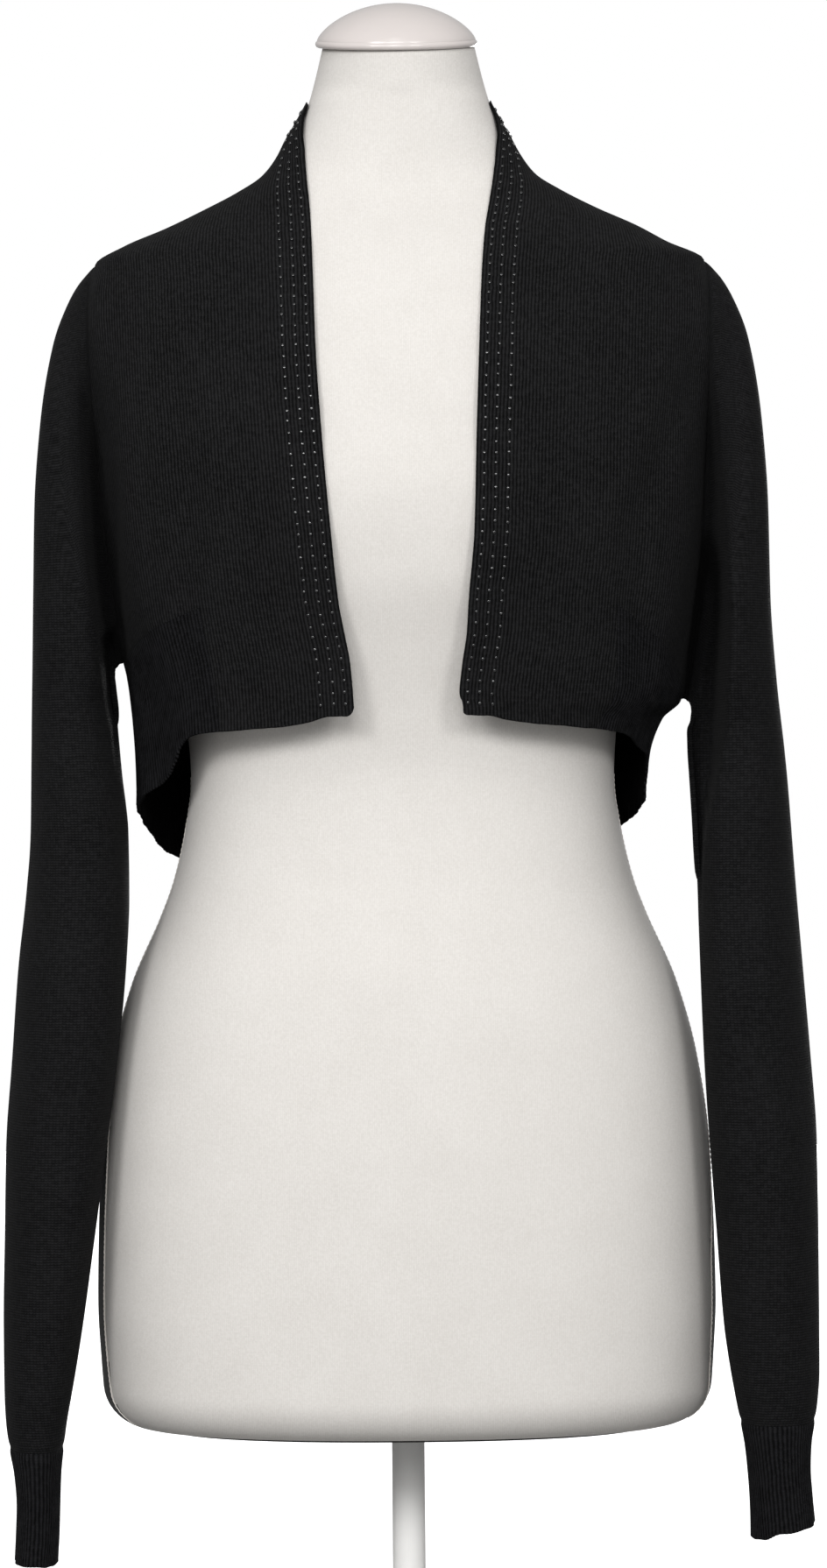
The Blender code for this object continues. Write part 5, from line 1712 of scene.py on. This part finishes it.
def form_ring(z, turn):
    """A level ring of the form, drawn in round its foot's edge."""
    inset = FOOT_ROUNDING - np.sqrt(FOOT_ROUNDING**2 - np.maximum(0, FORM_BOTTOM + FOOT_ROUNDING - z) ** 2)
    size = [along(FORM, column, z) - inset for column in ("half_width", "front", "back")]
    x, y = oval_point(turn, *size, FORM_SQUARE, FORM_SQUARE)
    sway = NECK_SWAY * np.clip((z - SWAY_START) / (SWAY_END - SWAY_START), 0, 1)
    return np.stack(np.broadcast_arrays(x + sway, y, z), -1)


def neck_ring(row, turn):
    """One of the neck's plain ovals, tipped forward."""
    x, y = oval_point(turn, NECK["half_width"][row], *[NECK["half_depth"][row]] * 2, 2.0, 2.0)
    tilt = radians(NECK["tilt"][row])
    back, up = y * np.cos(tilt) + NECK["shift"][row], y * np.sin(tilt) + NECK["z"][row]
    return np.stack([x + NECK_SWAY, back, up], -1)


def make_torso(name):
    turns = 180 + 360 * np.arange(FORM_AROUND) / FORM_AROUND
    foot_top = FORM_BOTTOM + FOOT_ROUNDING
    foot = FORM_BOTTOM + FOOT_ROUNDING * (1 - np.cos(pi / 2 * np.linspace(0, 1, FOOT_ROWS + 1)))[:-1]
    heights = np.concatenate([foot, np.arange(foot_top, NECK_START, FORM_ROW_STEP), [NECK_START]])
    rings = [form_ring(z, turns) for z in heights]
    rings = np.array(rings + [neck_ring(row, turns) for row in range(len(NECK["z"]))])
    places = ring_places(rings)
    neck = len(heights) - 1
    targets = np.concatenate([places[:neck], np.linspace(places[neck], places[-1], 10)])
    points = refine(rings, places, targets)
    uv = tube_uv(points)
    faces, corners_uv, slots = [], [], []
    middles = turns + 180 / FORM_AROUND
    around = np.arange(FORM_AROUND)
    for i in range(len(points) - 1):
        ring, above = ((row * FORM_AROUND + around).tolist() for row in (i, i + 1))
        faces += ring_faces(ring, above)
        for j in range(FORM_AROUND):
            corners_uv.append([tuple(uv[corner]) for corner in cell_corners(i, j)])
        seams = (along(FORM_SEAM[side], "turn", points[i, 0, 2]) for side in (RIGHT, LEFT))
        slots += (own(middles) > by_side(middles, *seams)).astype(int).tolist()
    faces += [around[::-1].tolist(), ((len(points) - 1) * FORM_AROUND + around).tolist()]
    corners_uv += [[(p[0], p[1]) for p in points[0]][::-1], [(p[0], p[1]) for p in points[-1]]]
    slots += [1, 0]
    spots = list(points.reshape(-1, 3))
    return mesh_piece(name, spots, faces, corners_uv, ivory_jersey, black_jersey, slots=slots)


torso = make_torso("form_body_cover")
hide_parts("form_torso")
print("form faces:", len(torso.data.polygons))

# %% [markdown]
# ## Overlock thread
#
# An overlocker trims the two layers of jersey and wraps their edge in loops of thread. From a
# distance that is one fine raised line, so it is made as a thin tube along the seam, which rises
# once for every loop.


# %% Overlock thread
THREAD_RADIUS, THREAD_SIDES = 0.42, 6
LOOP = 2.8  # mm of seam to one overlock loop


def thread_line(name, centres, outs):
    """A thin tube through points, closed at both ends."""
    spots, faces = [], []
    for centre, out, ahead in zip(centres, outs, unit(np.gradient(centres, axis=0))):
        side_way = unit(np.cross(out, ahead))
        for angle in 2 * pi * np.arange(THREAD_SIDES) / THREAD_SIDES:
            spots.append(centre + THREAD_RADIUS * (np.cos(angle) * side_way + np.sin(angle) * out))
    rings = [[i * THREAD_SIDES + k for k in range(THREAD_SIDES)] for i in range(len(centres))]
    for ring, ahead in zip(rings, rings[1:]):
        faces += ring_faces(ring, ahead)
    faces += [rings[0][::-1], rings[-1]]
    return mesh_piece(name, spots, faces, no_uv(faces), seam_thread)


for side, word in ((RIGHT, "right"), (LEFT, "left")):
    z = np.arange(FORM_BOTTOM + 3, 470, 0.7)
    turn = side * along(FORM_SEAM[side], "turn", z)
    centre = np.array([form_ring(h, t) for h, t in zip(z, turn)])
    out = unit(centre * np.array([1, 1, 0]))
    stitch = 0.1 + 0.3 * np.abs(np.sin(pi * z / LOOP))
    line = thread_line(f"form_seam_thread_{word}", centre + out * stitch[:, None], out)
    print("seam thread", word, "from", z[0], "to", round(float(z[-1])), "mm")

# %% [markdown]
# ## Neck cap and stand
#
# The cap is turned: a profile spun round the neck's leaning axis, a shallow dome with a rolled
# lip. The board, pole and base keep their CAD shape and only get their finishes.


# %% Neck cap
CAP_RADIUS, CAP_LIP, CAP_RISE = 44.6, 4.0, 24.0
CAP_AROUND = 128
DOME_INSET = 1.0  # between the dome's foot and the lip's outline
DOME_FULLNESS = 1.45  # 1 is an ellipse, 2 the more pointed parabola
NECK_TILT = radians(10.0)


def cap_profile():
    """Radius and height of the cap's rings, from near the crown down round the lip."""
    for angle in pi / 2 * np.linspace(0, 1, 25)[1:]:
        rise = (CAP_RISE - CAP_LIP) * np.cos(angle) ** DOME_FULLNESS
        yield (CAP_RADIUS - DOME_INSET) * np.sin(angle), CAP_LIP + rise
    for bend in np.linspace(pi / 3, -pi / 2, 12):
        yield CAP_RADIUS - CAP_LIP / 2 * (1 - np.cos(bend)), CAP_LIP / 2 * (1 + np.sin(bend))


def on_neck(radius, height, turn):
    """A point of the cap, on the neck's leaning top."""
    x, y, z = radius * np.cos(turn), radius * np.sin(turn), height + SEAM_GAP
    back = y * np.cos(NECK_TILT) - z * np.sin(NECK_TILT) + NECK["shift"][-1]
    return x, back, y * np.sin(NECK_TILT) + z * np.cos(NECK_TILT) + NECK["z"][-1]


def make_cap(name):
    turns = 2 * pi * np.arange(CAP_AROUND) / CAP_AROUND
    spots, rings = [], []
    for radius, height in cap_profile():
        rings.append([len(spots) + k for k in range(CAP_AROUND)])
        spots += [on_neck(radius, height, turn) for turn in turns]
    faces = [face for above, ring in zip(rings, rings[1:]) for face in ring_faces(ring, above)]
    faces += tip_faces(rings[0], len(spots))
    faces.append(rings[-1][::-1])
    spots.append(on_neck(0, CAP_RISE, 0))
    return mesh_piece(name, spots, faces, no_uv(faces), cap_plastic)


cap = make_cap("form_neck_cap_dome")
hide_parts("form_neck_cap")
for node, finish in (("form_board", board_material), ("stand_pole", powder_coat), ("stand_base", powder_coat)):
    for place in frame["nodes"][node].material_slots:
        place.material = finish
print("cap faces:", len(cap.data.polygons))

# %% [markdown]
# ## Camera
#
# A long lens from three metres away, level with the waist, gives the flat perspective of a
# catalogue. It is turned by half a degree about its line of sight, so that the form stands upright
# in the picture.

# %% Camera
camera_data = bpy.data.cameras.new("camera")
camera_data.lens = 124.9
camera_data.sensor_width = 36.0
camera = bpy.data.objects.new("camera", camera_data)
camera.location = (0.006, -3.0, 0.465)
camera.rotation_euler = (radians(90), radians(0.49), 0)
bpy.context.scene.collection.objects.link(camera)
bpy.context.scene.camera = camera
print("camera", [round(v, 3) for v in camera.location])

# %% [markdown]
# ## Floor
#
# A garment like this is shown on lit white paper, which leaves no horizon. Real paper would also
# fill the shadows under the hem, and black cards round the form hold that light off. The paper's
# material does both: seen directly it glows white, and to all other light it is a grey.

# %% Floor
FLOOR_RADIUS = 4.0
FLOOR_DROP = 0.0005  # the base plate rests just above the paper
floor_data = bpy.data.meshes.new("studio_floor")
angles = np.linspace(0, 2 * pi, 65)[:-1]
edge = [(FLOOR_RADIUS * np.cos(a), FLOOR_RADIUS * np.sin(a), -FLOOR_DROP) for a in angles]
floor_data.from_pydata(edge, [], [list(range(len(edge)))])
floor = bpy.data.objects.new("studio_floor", floor_data)
bpy.context.scene.collection.objects.link(floor)
paper, paper_tree, paper_shader = new_material("white_lit_paper", Roughness=0.9, Emission_Color=(1, 1, 1, 1))
grain = add(paper_tree, "ShaderNodeTexNoise", {"Scale": 400.0, "Detail": 2.0})
seen = add(paper_tree, "ShaderNodeLightPath")
white = {"Factor": grain, "A": linear("f6f6f6"), "B": linear("fbfbfb")}
shown = add(paper_tree, "ShaderNodeMix", white, 2, data_type="RGBA")
either = {"Factor": seen, "A": linear("909090"), "B": shown}
paper_colour = add(paper_tree, "ShaderNodeMix", either, 2, data_type="RGBA")
paper_glow = add(paper_tree, "ShaderNodeMath", [seen, 0.8], operation="MULTIPLY")
paper_tree.links.new(paper_colour, paper_shader.inputs["Base Color"])
paper_tree.links.new(paper_glow, paper_shader.inputs["Emission Strength"])
floor_data.materials.append(paper)
print("floor", 2 * FLOOR_RADIUS, "m across")

# %% [markdown]
# ## Light
#
# A white surround fills the shadows: it shows as full white but lights the scene with half of that.
# A wide lamp in front lights into the folds, and two lamps at its sides, the wearer's right one
# stronger, model the form and give the beads and the cap's lip their glints. A weak one from above
# and one behind keep the shoulders and the black back readable.

# %% Light
SURROUND = 0.5
Lamp = namedtuple("Lamp", "name place aim_height size watts")
LAMPS = (
    Lamp("key_lamp", (-2.45, -4.7, 2.8), 0.45, 1.6, 135),
    Lamp("fill_lamp", (2.35, -4.7, 2.7), 0.45, 1.4, 90),
    Lamp("front_lamp", (-0.2, -5.2, 2.5), 0.45, 2.6, 135),
    Lamp("top_lamp", (-0.1, -2.6, 3.9), 0.4, 1.0, 8),
    Lamp("back_lamp", (0.9, 5.0, 0.6), 0.5, 2.0, 100),
)

world = bpy.data.worlds.new("studio")
world.use_nodes = True
surround = world.node_tree.nodes["Background"]
surround.inputs["Color"].default_value = (1, 1, 1, 1)
in_view = add(world.node_tree, "ShaderNodeLightPath")
strength = add(world.node_tree, "ShaderNodeMath", [in_view, 1 - SURROUND, SURROUND], operation="MULTIPLY_ADD")
world.node_tree.links.new(strength, surround.inputs["Strength"])
bpy.context.scene.world = world
bpy.context.scene.view_settings.view_transform = "Standard"
for lamp in LAMPS:
    light = bpy.data.lights.new(lamp.name, "AREA")
    light.shape = "DISK"
    light.size = lamp.size
    light.energy = lamp.watts
    made = bpy.data.objects.new(lamp.name, light)
    made.location = lamp.place
    way = Vector((0, 0, lamp.aim_height)) - Vector(lamp.place)
    made.rotation_euler = way.to_track_quat("-Z", "Y").to_euler()
    bpy.context.scene.collection.objects.link(made)
print("lamps:", len(LAMPS))
